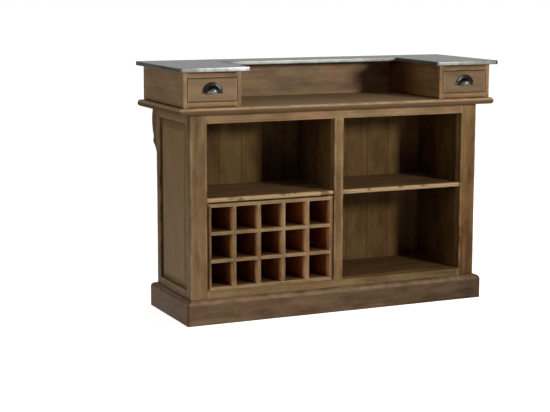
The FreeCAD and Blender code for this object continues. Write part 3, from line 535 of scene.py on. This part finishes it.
def panel_profile(tongue, rise):
    """Flat back, tongue in the grooves, sloping bevel, and a small step up to the field. The foot of
    the bevel by the groove is darkened with painted shade, and the edge of the step is paler.
    """
    top = tongue + rise
    foot = top - FIELD_STEP
    return [
        (TONGUE_REACH - 0.03, 0, 0), (TONGUE_REACH - 0.0006, 0, 0), (TONGUE_REACH, 0.0006, 0),
        (TONGUE_REACH, tongue - 0.0006, 0), (TONGUE_REACH - 0.0006, tongue, 0), (0, tongue, -0.5),
        (-0.004, tongue + (rise - FIELD_STEP) * 0.004 / BEVEL, -0.45),
        (0.0004 - BEVEL, foot - 0.0001, 0), (-BEVEL, foot + 0.0002, 0),
        (-BEVEL - 0.0001, top - 0.0006, 0.5), (-BEVEL - 0.0003, top - 0.0002, 1),
        (-BEVEL - 0.0009, top, 1), (-BEVEL - 0.008, top, 0),
    ]


side_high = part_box("side_left_panel")[1]
sight_front = flank_high.y
sight_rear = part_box("side_left_rear_stile")[0].y
panel_middle = (rail_high.z + top_low.z) / 2
panel_half = (top_low.z - rail_high.z) / 2
for hand, sign in (("left", -1), ("right", 1)):
    for number, piece in enumerate(("front_stile", "rear_stile", "top_rail", "bottom_rail")):
        node = f"side_{hand}_{piece}"
        low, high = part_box(node)
        level = "rail" in piece
        flush = piece == "front_stile"
        if level:
            low.y, high.y = sight_front, sight_rear
        board_piece(
            f"side_{piece}_{hand}", node, frame_wood, "frame_wood", low, high, "Y" if level else "Z",
            31 + number + 10 * sign, arris=[JOINT_ARRIS] * 2 + [ARRIS] * 2 if flush else ARRIS,
            marks=[0, 0, 1, 1] if flush else 1.0, board=(-2.2, 0.4) if piece == "rear_stile" else None,
        )
    panel = raised_panel(
        (sign * -side_high.x, (sight_front + sight_rear) / 2, panel_middle),
        (sight_rear - sight_front) / 2, panel_half, panel_profile(0.008, 0.008), ("X", sign),
        41 + sign, (0.8, 0.1),
    )
    made_piece(f"side_{hand}_raised_panel", [panel], panel_wood, [f"side_{hand}_panel"])


# Rear frame and panels on the customer's side
# The same construction across the whole width: two stiles, two rails and two muntins round
# three raised panels.

for hand, seed in (("left", 51), ("right", 53)):
    node = f"rear_stile_{hand}"
    board_piece(f"back_stile_{hand}", node, frame_wood, "frame_wood", *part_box(node), "Z", seed)
rear_front, rear_face = rear_low.y, rear_high.y
for name in ("top", "bottom"):
    node = f"rear_rail_{name}"
    low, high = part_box(node)
    board_piece(
        f"back_rail_{name}", node, frame_wood, "frame_wood", (-opening_half, rear_front, low.z),
        (opening_half, rear_face, high.z), "X", 54,
    )
MUNTIN = 0.060
panel_width = (2 * opening_half - 2 * MUNTIN) / 3
lefts = [-opening_half + number * (panel_width + MUNTIN) for number in range(3)]
muntins = [
    worn_board((left - MUNTIN, rear_front, rail_high.z), (left, rear_face, top_low.z), "Z", seed)
    for seed, left in enumerate(lefts[1:], 57)
]
made_piece("back_muntins", muntins, frame_wood, ["rear_muntins"])
panel_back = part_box("rear_panels")[0].y
panels = [
    raised_panel(
        (left + panel_width / 2, panel_back, panel_middle), panel_width / 2, panel_half,
        panel_profile(0.006, 0.005), ("Y", 1), seed,
    )
    for seed, left in enumerate(lefts, 61)
]
made_piece("back_raised_panels", panels, panel_wood, ["rear_panels"])


# Matchboard back and corbels
# Upright tongued and grooved boards close the back of the bays. A sawn scroll bracket at each
# rear corner carries the overhang of the counter.

inside_wood = old_wood(
    "inside wood", (50, 34, 19), (92, 69, 42), (120, 93, 60), (130, 104, 72), roughness=0.7,
    patches=0.4, gloss=0.03, streaked=0.14,
)
boards_low, boards_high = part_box("back_boards")
MATCHBOARDS = 13
FIRST_BOARD = 0.45
matchboard_width = (boards_high.x - boards_low.x) / (MATCHBOARDS - 1 + FIRST_BOARD)
inside_wood_upright = old_wood(
    "inside wood upright", (50, 34, 19), (94, 71, 43), (124, 97, 63), (130, 104, 72), grain="Z",
    roughness=0.7, patches=0.5, gloss=0.03, streaked=0.09,
    joints=(boards_low.x + FIRST_BOARD * matchboard_width, matchboard_width),
)


def give_material(material, *kept):
    """These CAD nodes keep their meshes and show this material."""
    for node in kept:
        for holder in nodes[node].material_slots:
            holder.material = material


give_material(inside_wood_upright, "back_boards", "battens")


def arc_points(start, end, radius, side, steps):
    """Points on the shorter arc of a radius from start up to, but without, end.

    Its centre lies to the left of the way from start to end for side 1, to the right for -1.
    """
    start, end = np.array(start), np.array(end)
    chord = end - start
    half = np.linalg.norm(chord) / 2
    left = np.array([-chord[1], chord[0]]) / (2 * half)
    middle = (start + end) / 2 + left * math.sqrt(radius ** 2 - half ** 2) * side
    first = math.atan2(*(start - middle)[::-1])
    turn = 2 * math.asin(half / radius) * side
    angles = first + turn * np.arange(steps) / steps
    return middle + radius * np.stack([np.cos(angles), np.sin(angles)], axis=1)


CORBEL_WIDTH = 0.045
corbel_low, corbel_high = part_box("corbels")
reach, foot, head = corbel_high.y, corbel_low.z, corbel_high.z
scroll = np.concatenate([
    arc_points((rear_face, foot), (reach - 0.001, foot + 0.039), 0.062, -1, 10),
    [(reach - 0.001, foot + 0.039)],
    arc_points((reach - 0.001, foot + 0.046), (reach - 0.005, foot + 0.068), 0.016, -1, 8),
    arc_points((reach - 0.005, foot + 0.068), (reach, head - 0.008), 0.122, 1, 16),
    [(reach, head - 0.008), (reach, head), (rear_face, head)],
])
crisp = np.zeros(len(scroll))
crisp[[0, 10, 11, 19, 35, 36, 37]] = 1
corbels = [
    worn_bar(scroll, "X", ends, JOINT_ARRIS + 0.0008 * crisp, seed, end_arris=0.002, marks=crisp)
    for ends, seed in (
        ((-carcase_half, CORBEL_WIDTH - carcase_half), 71),
        ((carcase_half - CORBEL_WIDTH, carcase_half), 72),
    )
]
made_piece("scroll_corbels", corbels, frame_wood, ["corbels"])


# Bottom board, linings and shelves
# Plain boards line each bay flush with the stiles, and the partition is two of them back to back.
# Each shelf is housed in the linings, and its front edge is a worn half round.

board_piece(
    "floor_of_bays", "bottom_board", inside_wood, "inside_wood", *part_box("bottom_board"), "X", 81,
    board=(-0.3, 0.15),
)
lining_low, lining_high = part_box("side_linings")
# All linings take a darker, ruddier tone than the bottom board, the right lining most: painted shade in
# the bays.
for name, starts, width in (
    ("side_linings", (lining_low.x, opening_half), -opening_half - lining_low.x),
    ("partition", (-CENTRE_HALF, 0), CENTRE_HALF),
):
    boards = [
        worn_board(
            (start, *lining_low.yz), (start + width, *lining_high.yz), "Z", seed, SLIM_ARRIS,
            board=(-1.0 if start > 0 else -0.7, 0.5),
        )
        for seed, start in enumerate(starts, 83)
    ]
    made_piece(name + "_boards", boards, inside_wood, [name])
shelf_wood = old_wood(
    "shelf wood", (82, 60, 38), (126, 98, 66), (160, 130, 95), (177, 147, 107), patches=0.4, gloss=0.12,
)
SHELF_NOSE = 0.008
SHELF_SLACK = 0.0005
for hand, left, right, seed, tone in (
    ("left", SHELF_SLACK - opening_half, -CENTRE_HALF - SHELF_SLACK, 91, -1.0),
    ("right", CENTRE_HALF + SHELF_SLACK, opening_half - SHELF_SLACK, 92, -1.6),
):
    node = f"shelf_{hand}"
    low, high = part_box(node)
    board_piece(
        f"{hand}_shelf_board", node, shelf_wood, "shelf_wood", (left, *low.yz), (right, *high.yz), "X",
        seed, arris=[SHELF_NOSE, SLIM_ARRIS, SLIM_ARRIS, SHELF_NOSE], marks=[5, 1, 1, 5],
        board=(tone, 0),
    )


# Wine rack
# A case of thin boards that stands in the left lower bay. Four dividers and two shelves are
# halved into each other and make fifteen square cells for bottles.

COLUMNS = 5
ROWS = 3
RACK_BOARD = 0.013
RACK_ARRIS = 0.0011
rack_low, rack_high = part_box("rack_sides")
# Both rack woods carry painted shade that deepens from the front of the rack inwards; the uprights'
# large gain also paints their front strip lighter.
rack_wood_shaded, rack_upright_wood_painted_light = [
    old_wood(
        name, (84, 60, 38), (128, 101, 70), (158, 132, 98), (184, 158, 124), patches=0.65, gloss=0.05,
        recess_shade=(rack_low.y, 0.1, gain),
    )
    for name, gain in (("rack wood with painted shade", 0.9), ("rack upright wood with painted light", 3.3))
]
cell_width = (rack_high.x - rack_low.x - (COLUMNS + 1) * RACK_BOARD) / COLUMNS
cell_height = (rack_high.z - rack_low.z - (ROWS + 1) * RACK_BOARD) / ROWS
x_faces = [rack_low.x + number * (cell_width + RACK_BOARD) for number in range(COLUMNS + 1)]
z_faces = [rack_low.z + number * (cell_height + RACK_BOARD) for number in range(ROWS + 1)]


def rack_upright(x, seed, z=(rack_low.z, rack_high.z), **more):
    """An upright board of the rack with its left face at x."""
    low, high = (x, rack_low.y, z[0]), (x + RACK_BOARD, rack_high.y, z[1])
    return worn_board(low, high, "Z", seed, RACK_ARRIS, **more)


def rack_level(z, seed, x=(rack_low.x + RACK_BOARD, rack_high.x - RACK_BOARD)):
    """A level board of the rack with its lower face at z."""
    return worn_board((x[0], rack_low.y, z), (x[1], rack_high.y, z + RACK_BOARD), "X", seed, RACK_ARRIS)


crate = (z_faces[0] + RACK_BOARD, z_faces[-1])
for name, wood, parts in (
    ("rack_sides", rack_upright_wood_painted_light, [
        # The outer arrises of the two sides are darkened: painted shade in the gaps beside the linings.
        rack_upright(x_faces[0], 101, board=(-1.8, 0.3), marks=[-1.5, 1, 1, -1.5]),
        rack_upright(x_faces[-1], 102, marks=[1, -1.2, -1.2, 1]),
    ]),
    ("rack_top", rack_wood_shaded, [rack_level(z_faces[-1], 103)]),
    ("rack_bottom", rack_wood_shaded, [rack_level(z_faces[0], 104)]),
    ("rack_dividers", rack_upright_wood_painted_light, [
        rack_upright(x, seed, crate) for seed, x in enumerate(x_faces[1:-1], 105)
    ]),
    ("rack_shelves", rack_wood_shaded, [
        rack_level(z, 110 + 10 * row + column, (x + RACK_BOARD, x + RACK_BOARD + cell_width))
        for row, z in enumerate(z_faces[1:-1]) for column, x in enumerate(x_faces[:-1])
    ]),
):
    made_piece(name + "_boards", parts, wood, [name])


# Counter
# A thick board with a full round nose on every edge, which overhangs the carcase on all sides.

# The counter's worn colour is pale because it also paints the highlight along the top of the nose.
counter_wood = old_wood(
    "counter wood", (84, 61, 38), (128, 101, 70), (160, 132, 98), (202, 171, 129), patches=0.4,
    gloss=0.07,
)
NOSE = 0.0125
COUNTER_CORNER = 0.014
CORNER_STEPS = 6
EDGE_STEPS = 30


def cornered_ring(half_x, half_y, radius):
    """A rectangle with round corners: corner centre + radius (cos t, sin t), edges divided evenly."""
    t = np.radians(np.linspace(0, 90, CORNER_STEPS))
    ring = []
    for turn, (sx, sy) in enumerate(((1, 1), (-1, 1), (-1, -1), (1, -1))):
        arc = np.stack([np.cos(t + turn * np.pi / 2), np.sin(t + turn * np.pi / 2)], axis=1) * radius
        ring.append(arc + (sx * (half_x - radius), sy * (half_y - radius)))
    share = np.arange(1, EDGE_STEPS)[:, None] / EDGE_STEPS
    joined = []
    for arc, following in zip(ring, ring[1:] + ring[:1]):
        joined += [arc, arc[-1] + share * (following[0] - arc[-1])]
    return np.concatenate(joined)


def nosed_board(low, high, seed):
    """Rings of a round-cornered rectangle that grow by N cos a and rise by N sin a, a half turn.

    Below, the nose is darkened with painted shade; above, it is paler up to the flat, partly worn bare
    and partly a painted highlight.
    """
    random = np.random.default_rng(seed)
    middle = (np.array(low) + np.array(high)) / 2
    half = (np.array(high) - np.array(low)) / 2
    flat = half[2] - NOSE
    rows = [(-0.02, -half[2], 0), (-NOSE - 0.006, -half[2], 0)]
    for a in np.radians([-90, -75, -60, -45, -30, -15, -1, 1, 15, 30, 45, 60, 75, 90]):
        # Below the middle of the nose the value paints shade, and above it a paler band that is partly
        # worn and partly a painted highlight.
        rub_and_painted_light = np.clip(2.4 * math.sin(a - 0.35), -0.8, 1) if a < 1.3 else 0
        rows.append((NOSE * (math.cos(a) - 1), NOSE * math.sin(a) + math.copysign(flat, a), rub_and_painted_light))
    rows += [(-NOSE - 0.006, half[2], 0), (-0.02, half[2], 0)]
    rings = []
    for offset, level, _ in rows:
        plan = cornered_ring(half[0] + offset, half[1] + offset, max(COUNTER_CORNER + offset, 0.001))
        rings.append(np.column_stack([plan + middle[:2], np.full(len(plan), middle[2] + level)]))
    rings = np.array(rings)
    grain = rings - middle + (30 + random.uniform(0, 5), 0.02, 0.09)
    return loft(rings, np.array(rows)[:, 2:], grain, (2.1, 0))


counter = nosed_board(*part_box("counter_top"), 131)
made_piece("counter_board", [counter], counter_wood, ["counter_top"])


# Drawer boxes and the board behind them
# Two boxes of plain boards stand on the counter under the wings of the bar, and one long board
# closes their backs and the back of the well between them.

# The well wood carries painted shade that deepens along Y from the front of the well, its mouth a
# little lighter.
bar_wood, well_wood_shaded = [
    old_wood(
        name, (86, 62, 39), (132, 104, 73), (160, 132, 98), (172, 142, 107), patches=0.45, gloss=gloss,
        recess_shade=recess_shade,
    )
    for name, gloss, recess_shade in (("bar wood", 0.15, None), ("well wood with painted shade", 0.05, (-0.17, 0.67, 1.15)))
]
for node, wood, seed, board in (
    ("left_box_outer_side", bar_wood, 141, (0.5, 0)),
    ("left_box_inner_side", bar_wood, 142, (-0.6, 0.2)),
    ("right_box_inner_side", well_wood_shaded, 143, (-0.6, 0.3)),
    ("right_box_outer_side", bar_wood, 144, (0, 0.35)),
):
    # Each box side's wide lower arrises are darkened: painted shade along the line where it stands on
    # the counter.
    board_piece(
        node + "_board", node, wood, "bar_wood", *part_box(node), "Y", seed,
        arris=[0.004, ARRIS, ARRIS, 0.004], marks=[-2.5, 1, 1, -2.5], board=board,
    )
RAIL_DEPTH = 0.060
bay_edges = (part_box("left_box_outer_side")[1].x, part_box("left_box_inner_side")[0].x)
bottom_low, bottom_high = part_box("box_bottoms")
rails_low, rails_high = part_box("box_top_rails")
bottoms, rails = [], []
for sign, seed in ((1, 151), (-1, 155)):
    left, right = sorted(sign * edge for edge in bay_edges)
    # The front lower arris of each floor board is darkened: painted shade where it meets the counter.
    bottoms.append(worn_board(
        (left, *bottom_low.yz), (right, *bottom_high.yz), "X", seed,
        arris=[0.003, ARRIS, ARRIS, ARRIS], marks=[-1.5, 1, 1, 0.6], board=(-0.3, 0.4),
    ))
    # The upper front arris and the dark tone of each top strip are painted shade under the zinc's
    # overhang.
    for number, start in enumerate((rails_low.y, rails_high.y - RAIL_DEPTH), 1):
        rails.append(worn_board(
            (left, start, rails_low.z), (right, start + RAIL_DEPTH, rails_high.z), "X", seed + number,
            marks=[1, 1, 1, -2.5], board=(-1.4, 0.3),
        ))
made_piece("box_floor_boards", bottoms, bar_wood, ["box_bottoms"])
made_piece("box_top_strips", rails, bar_wood, ["box_top_rails"])
board_piece("bar_back_board", "bar_back", bar_wood, "bar_wood", *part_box("bar_back"), "X", 161)


# Bar top
# Three boards in a U under one sheet of zinc, folded down over their edges. The zinc is dull and
# mottled on top; along the fold it is brighter, partly rubbed and partly a painted reflection,
# and the outer front corners carry a painted dark reflection.

core_wood = old_wood(
    "core wood", (100, 78, 54), (138, 112, 82), (166, 140, 108), (170, 144, 112), grain="X",
)
give_material(core_wood, "left_top_board", "right_top_board", "rear_top_board")


def zinc_finish():
    """Dull rolled zinc: cloudy grey patina, fine scratches, a brighter fold that is partly worn and
    partly a painted reflection, and a painted dark reflection where asked.
    """
    material, tree, shader = new_finish("zinc")
    place = object_place(tree)
    clouds = cloudy(tree, place, 7, 5, 0.6)
    mottle = cloudy(tree, place, 55, 4, 0.6)
    drawn = worked(tree, "MULTIPLY", place, (0.04, 1, 1), kind="VectorMath")
    scratches = cloudy(tree, drawn, 420, 2)
    tone = weighed(tree, [(clouds, 0.7), (mottle, 0.35), (scratches, 0.2)], -0.13)
    patina = ramp(
        tree, tone, (0.3, colour(73, 75, 71)), (0.5, colour(96, 98, 92)), (0.72, colour(128, 129, 122)),
    )
    wear_and_painted_light = painted(tree, "wear_and_painted_light")
    # Along the fold, brighter zinc that is partly rubbed and partly a painted reflection; below 0, a
    # painted dark reflection.
    patina = blended(tree, worked(tree, "MULTIPLY", wear_and_painted_light, mottle), patina, colour(200, 197, 196))
    patina = blended(tree, mapped(tree, wear_and_painted_light, 0.0, -0.6), patina, colour(40, 40, 42))
    dull = weighed(tree, [(mottle, 0.3), (clouds, 0.2)], 0.12)
    relief = weighed(tree, [(clouds, 0.8), (mottle, 0.35), (scratches, 0.03)])
    coated(tree, shader, patina, dull, relief, 0.25, 0.004)
    shader.inputs["Metallic"].default_value = 0.6
    shader.inputs["Specular Tint"].default_value = (0.6, 0.6, 0.6, 1)
    return material


WING_WIDTH = 0.290
STRIP_DEPTH = 0.160
ZINC_CORNER = 0.008
ZINC_FOLD = 0.0018
ZINC_SHEET = 0.0012
CORNER_RUB = 0.012
zinc_low, zinc_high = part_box("zinc_top")


def bar_outline():
    """The U in plan, anticlockwise from the left wing's front, with round outer corners.

    Each point has how bright its stretch of the fold is, partly worn and partly a painted
    reflection; below 0 the value paints a dark reflection at the outer corners and the left end of
    the strip's face.
    """
    left, front, right, rear = zinc_low.x, zinc_low.y, zinc_high.x, zinc_high.y
    inner, strip = right - WING_WIDTH, rear - STRIP_DEPTH
    corners = [
        (left, front + CORNER_RUB, 0, 0.3), (left, front, 1, -0.4), (left + CORNER_RUB, front, 0, -0.1),
        (0.09 + left, front, 0, 0.5), (-inner, front, 1, 0.8), (-inner, strip, 0, -0.5),
        (0.06 - inner, strip, 0, -0.4), (0.11 - inner, strip, 0, 0.1), (inner, strip, 0, 0.1),
        (inner, front, 1, 0.1), (right - CORNER_RUB, front, 0, -0.1), (right, front, 1, -1),
        (right, front + CORNER_RUB, 0, 0.3), (right, rear, 1, 0.3), (left, rear, 1, 0.3),
    ]
    points = np.array(corners)[:, :2]
    _, arriving, leaving = ways(points)
    t = ARC[:, None]
    outline, rub_and_reflection = [], []
    for point, before, after, (_, _, rounded, share) in zip(points, arriving, leaving, corners):
        if rounded:
            centre = point + ZINC_CORNER * (after - before)
            outline.append(centre + ZINC_CORNER * (before * np.sin(t) - after * np.cos(t)))
        else:
            outline.append(point[None])
        rub_and_reflection.append(np.full(len(outline[-1]), share))
    return np.concatenate(outline), np.concatenate(rub_and_reflection)


def carried_round(outline, rub_and_reflection, rows):
    """A profile carried round an outline: outline + offset times the mitred normal, at the level.

    The mitred normal is (a + b) / (1 + a.b) for the normals a and b of the two edges that meet.
    """
    before, after = [np.stack([way[:, 1], -way[:, 0]], axis=1) for way in ways(outline)[1:]]
    mitred = (before + after) / (1 + (before * after).sum(1))[:, None]
    offset, level, share = np.array(rows).T[..., None]
    rings = np.empty((len(rows), len(outline), 3))
    rings[..., :2] = outline + offset[..., None] * mitred
    rings[..., 2] = level
    # Where the value is below 0, the outer faces take a painted dark reflection at full strength.
    painted_dark_reflection = (rub_and_reflection < 0) & (offset > -0.003)
    return loft(rings, np.where(painted_dark_reflection, 1, share) * rub_and_reflection, rings, (0, 0))


fold = [
    (ZINC_FOLD * (math.cos(a) - 1), zinc_high.z - ZINC_FOLD * (1 - math.sin(a)), 1) for a in ARC
]
sheet = carried_round(*bar_outline(), [
    (-0.0075, zinc_high.z - ZINC_SHEET, 0), (-ZINC_SHEET, zinc_high.z - ZINC_SHEET, 0),
    (-ZINC_SHEET, zinc_low.z, 0), (-0.0003, zinc_low.z, 0.4), (0, zinc_low.z + 0.0003, 0.7),
    (0, zinc_low.z + 0.004, 0.6), (0, zinc_high.z - 0.006, 0.6), *fold, (-0.005, zinc_high.z, 0.15),
    (-0.0075, zinc_high.z, 0),
])
made_piece("zinc_sheet", [sheet], zinc_finish(), ["zinc_top"])


# Drawers
# Inset fronts with the sides dovetailed into them, a thin bottom in grooves and a low back. They
# run on the floors of their boxes.

drawer_front_wood = old_wood(
    "drawer front wood", (76, 58, 36), (111, 90, 63), (134, 113, 84), (160, 136, 104), patches=0.4,
)
drawer_box_wood = old_wood(
    "drawer box wood", (122, 98, 68), (152, 126, 92), (176, 150, 114), (180, 154, 118), grain="Y",
    roughness=0.6,
)
TAIL_PROUD = 0.0003
for hand, seed in (("left", 171), ("right", 175)):
    body = hand + "_drawer"
    low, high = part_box(f"{body}_front")
    # All arrises of the face are darkened: painted shade in the gaps round the drawer.
    board_piece(
        f"{body}_face", f"{body}_front", drawer_front_wood, "drawer_front_wood",
        (low.x + TAIL_PROUD, *low.yz), (high.x - TAIL_PROUD, *high.yz), "X", seed, body, marks=-0.5,
    )
    give_material(drawer_box_wood, f"{body}_sides", f"{body}_back", f"{body}_bottom")


# Cup pulls
# Half-round cast pulls: a flat flange, a flare and a domed cup open below, each held by two
# slotted screws in the flange. Dark and burnished, brighter where fingers rub and on the crown of
# the cup, where the brightness is partly a painted highlight.

def dark_casting():
    """Burnished cast iron: a finely mottled near black, turned grey on the high places, partly worn by
    fingers and partly as a painted highlight.
    """
    material, tree, shader = new_finish("pull metal")
    place = object_place(tree)
    cast = cloudy(tree, place, 320, 4)
    skin = ramp(tree, cast, (0.35, colour(17, 16, 14)), (0.65, colour(42, 40, 38)))
    rub_and_painted_light = worked(tree, "MULTIPLY", painted(tree, "wear_and_painted_light"), cloudy(tree, place, 60, 3))
    skin = blended(tree, rub_and_painted_light, skin, colour(150, 148, 146))
    coated(tree, shader, skin, weighed(tree, [(cast, 0.2)], 0.14), cast, 0.3, 0.0003)
    shader.inputs["Metallic"].default_value = 1
    return material


PULL_RADIUS = 0.043
PULL_RIM = 0.005
PULL_WALL = 0.002
PULL_DEPTH = 0.022
FLANGE_INNER = 0.030
FLARE_RADIUS = 0.0168
SHOULDER = (0.0225, 0.0108)
DOME_RISE = PULL_DEPTH - SHOULDER[1]
DOME_RADIUS = (SHOULDER[0] ** 2 + DOME_RISE ** 2) / (2 * DOME_RISE)
CROWN_LIFT = 0.012
HALF_TURN_STEPS = 48


def dome_points(radius, depth, a):
    """The arc (R sin a, D - R (1 - cos a)) of a dome with its crown at depth D."""
    return np.stack([radius * np.sin(a), depth - radius * (1 - np.cos(a))], axis=1)


def pull_profile():
    """The section from flange to crown and back inside, as (distance from the centre, depth)."""
    sweep = math.asin(SHOULDER[0] / DOME_RADIUS)
    return np.concatenate([
        [
            (FLANGE_INNER, 0), (PULL_RADIUS - 0.0004, 0), (PULL_RADIUS, 0.0004),
            (PULL_RADIUS, PULL_WALL - 0.0008), (PULL_RADIUS - 0.0008, PULL_WALL),
        ],
        arc_points((PULL_RADIUS - PULL_RIM, PULL_WALL), SHOULDER, FLARE_RADIUS, -1, 10),
        dome_points(DOME_RADIUS, PULL_DEPTH, np.linspace(sweep, 0, 14)),
        dome_points(DOME_RADIUS - PULL_WALL, PULL_DEPTH - PULL_WALL, np.linspace(0, 0.98 * sweep, 12)),
    ])


def half_cup(centre, front):
    """The section turned half round: x = r cos v, z = r sin v, for v from 0 to a half turn.

    Inside the shoulder the crown is moved up by L, which takes (L^2 - 2 L z) / 2R times
    (1 - r^2 / shoulder^2) off the depth.
    """
    distance, depth = pull_profile().T
    inside = np.clip(1 - (distance / SHOULDER[0]) ** 2, 0, 1)
    v = np.linspace(0, np.pi, HALF_TURN_STEPS)[:, None]
    lost = (CROWN_LIFT ** 2 - 2 * CROWN_LIFT * distance * np.sin(v)) / (2 * DOME_RADIUS) * inside
    rings = np.stack([
        centre[0] + distance * np.cos(v), front - depth + lost, centre[1] + distance * np.sin(v),
    ], axis=-1)
    # The crown of the cup is paler, partly worn and partly a painted highlight.
    high_rub_and_highlight = np.clip((depth - 0.008) / 0.014, 0, 1)
    return loft(rings, np.broadcast_to(high_rub_and_highlight, rings.shape[:2]) * 0.9, rings, (0, 0))


SCREW_RADIUS = 0.0026
SCREW_RISE = 0.0011
SLOT_DEPTH = 0.0006
SLOT_HALF = 0.0004
SHANK = 0.0015


def screw_head(x, z, front, slot_angle):
    """A round head, (1 - t^2)^0.5 of its rise tall at t, with a slot pressed in at an angle."""
    t = np.array([1.0, 0.97, 0.85, 0.65, 0.4, 0.2, 0.05])
    v = np.linspace(0, 2 * np.pi, 24, endpoint=False)
    plan = t[:, None, None] * SCREW_RADIUS * np.stack([np.cos(v), np.sin(v)], axis=-1)
    height = SCREW_RISE * np.sqrt(np.clip(1 - t ** 2, 0, 1))[:, None] * np.ones(len(v))
    across = plan[..., 0] * math.sin(slot_angle) - plan[..., 1] * math.cos(slot_angle)
    height = height - SLOT_DEPTH * np.exp(-((across / SLOT_HALF) ** 2)) * (t < 0.9)[:, None]
    rings = np.stack([x + plan[..., 0], front - height, z + plan[..., 1]], axis=-1)
    foot = rings[:1].copy()
    foot[..., 1] = front + SHANK
    rings = np.concatenate([foot, rings])
    return loft(rings, np.full(rings.shape[:2], 0.7), rings, (0, 0))


SCREW_CIRCLE = 0.0402
SCREWS = ((math.radians(9), 0.6), (math.radians(171), 2.1))
pull_metal = dark_casting()
for hand in ("left", "right"):
    body = hand + "_drawer"
    node = f"{body}_cup_pull"
    low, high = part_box(node)
    middle = (low.x + high.x) / 2
    cup = half_cup((middle, low.z), high.y)
    made_piece(f"{body}_pull", [cup], pull_metal, [node], body)
    screws = [
        screw_head(
            middle + SCREW_CIRCLE * math.cos(angle), low.z + SCREW_CIRCLE * math.sin(angle),
            high.y - PULL_WALL, slot_angle,
        )
        for angle, slot_angle in SCREWS
    ]
    made_piece(f"{body}_pull_screws", screws, pull_metal, (), body)


# Floor, background, light and camera
# A pale studio floor that runs on into a white background, a soft box at the front right, weaker
# ones at the left and behind, and the camera as it was fitted to the photograph.

def seen(tree):
    """1 for a ray that shows the background: from the camera, a reflection or through glass."""
    path = wire(tree, "LightPath").outputs
    first = worked(tree, "MAXIMUM", path["Is Camera Ray"], path["Is Glossy Ray"])
    return worked(tree, "MAXIMUM", first, path["Is Transmission Ray"])


AMBIENT = 0.055
scene = bpy.context.scene
world = bpy.data.worlds.new("studio")
scene.world = world
world.use_nodes = True
tree = world.node_tree
background = tree.nodes["Background"].inputs
background["Color"].default_value = (1, 1, 1, 1)
tree.links.new(mapped(tree, seen(tree), 0.0, 1.0, AMBIENT), background["Strength"])


def studio_sheet(name, corners, material):
    """A flat four-cornered sheet of the studio."""
    mesh = bpy.data.meshes.new(name)
    mesh.from_pydata(corners, [], [(0, 1, 2, 3)])
    mesh.materials.append(material)
    return new_object(name, mesh)


FLOOR_GLOW = 0.86
GLOW_START = 1.5
GLOW_FULL = 6.0
floor_paint, tree, shader = new_finish("floor paint")
for label, value in (
    ("Base Color", (0.86, 0.86, 0.86, 1)), ("Roughness", 0.9), ("Specular IOR Level", 0.1),
    ("Emission Color", (1, 1, 1, 1)),
):
    shader.inputs[label].default_value = value
away = wire(tree, "VectorMath", {0: object_place(tree)}, operation="LENGTH").outputs["Value"]
glow = mapped(tree, away, GLOW_START, GLOW_FULL, FLOOR_GLOW)
glow = worked(tree, "MULTIPLY", seen(tree), glow)
tree.links.new(glow, shader.inputs["Emission Strength"])
floor = studio_sheet("floor", [(-30, -30, 0), (30, -30, 0), (30, 30, 0), (-30, 30, 0)], floor_paint)

# A black cloth behind at the left, which only shows in reflections
flag_cloth, tree, shader = new_finish("flag cloth")
shader.inputs["Base Color"].default_value = (0.01, 0.01, 0.01, 1)
shader.inputs["Specular IOR Level"].default_value = 0
flag = studio_sheet("black flag", [
    (-3.6, 2.5, 0.01), (-1.05, 2.5, 0.01), (-1.05, 2.5, 2.6), (-3.6, 2.5, 2.6),
], flag_cloth)
flag.visible_camera = flag.visible_diffuse = flag.visible_shadow = False


def soft_box(name, place, target, width, height, power, mirrored=True):
    """An area lamp that faces a target and only shows, if at all, in reflections."""
    lamp = bpy.data.lights.new(name, "AREA")
    lamp.shape = "RECTANGLE"
    lamp.size, lamp.size_y = width, height
    lamp.energy = power
    holder = new_object(name, lamp)
    holder.location = place
    x, y, z = direction = np.array(target) - np.array(place)
    holder.rotation_euler = (math.acos(-z / np.linalg.norm(direction)), 0, math.atan2(-x, y))
    holder.visible_camera = False
    holder.visible_glossy = mirrored


soft_box("key", (1.36, -2.8, 1.45), (-3.6, -1.4, 0.9), 0.6, 0.4, 113)
soft_box("left fill", (-3.2, -1.1, 1.3), (-0.6, 0, 0.5), 1.0, 1.0, 19)
soft_box("rear fill", (1.6, 3.0, 1.7), (0, 0.2, 0.5), 1.2, 1.2, 55, mirrored=False)

FOCAL_PIXELS = 1462.99
IMAGE_WIDTH = 550
CAMERA_PLACE = (-2.61968, -5.36519, 1.3554)
YAW, PITCH, ROLL = 0.4353, 0.1536, 0.0035
optics = bpy.data.cameras.new("camera")
optics.sensor_fit = "HORIZONTAL"
optics.sensor_width = 36
optics.lens = FOCAL_PIXELS / IMAGE_WIDTH * optics.sensor_width
optics.shift_x, optics.shift_y = -0.0286, -0.0133
optics.clip_end = 100
camera = new_object("camera", optics)
ahead = np.array([math.sin(YAW), math.cos(YAW), 0])
aside = np.array([math.cos(YAW), -math.sin(YAW), 0])
up = np.array([0, 0, 1])
forward = math.cos(PITCH) * ahead - math.sin(PITCH) * up
above = math.sin(PITCH) * ahead + math.cos(PITCH) * up
right = math.cos(ROLL) * aside + math.sin(ROLL) * above
above = math.cos(ROLL) * above - math.sin(ROLL) * aside
pose = np.eye(4)
pose[:3] = np.column_stack([right, above, -forward, CAMERA_PLACE])
camera.matrix_world = Matrix(pose.tolist())
scene.camera = camera
scene.view_settings.view_transform = "Standard"
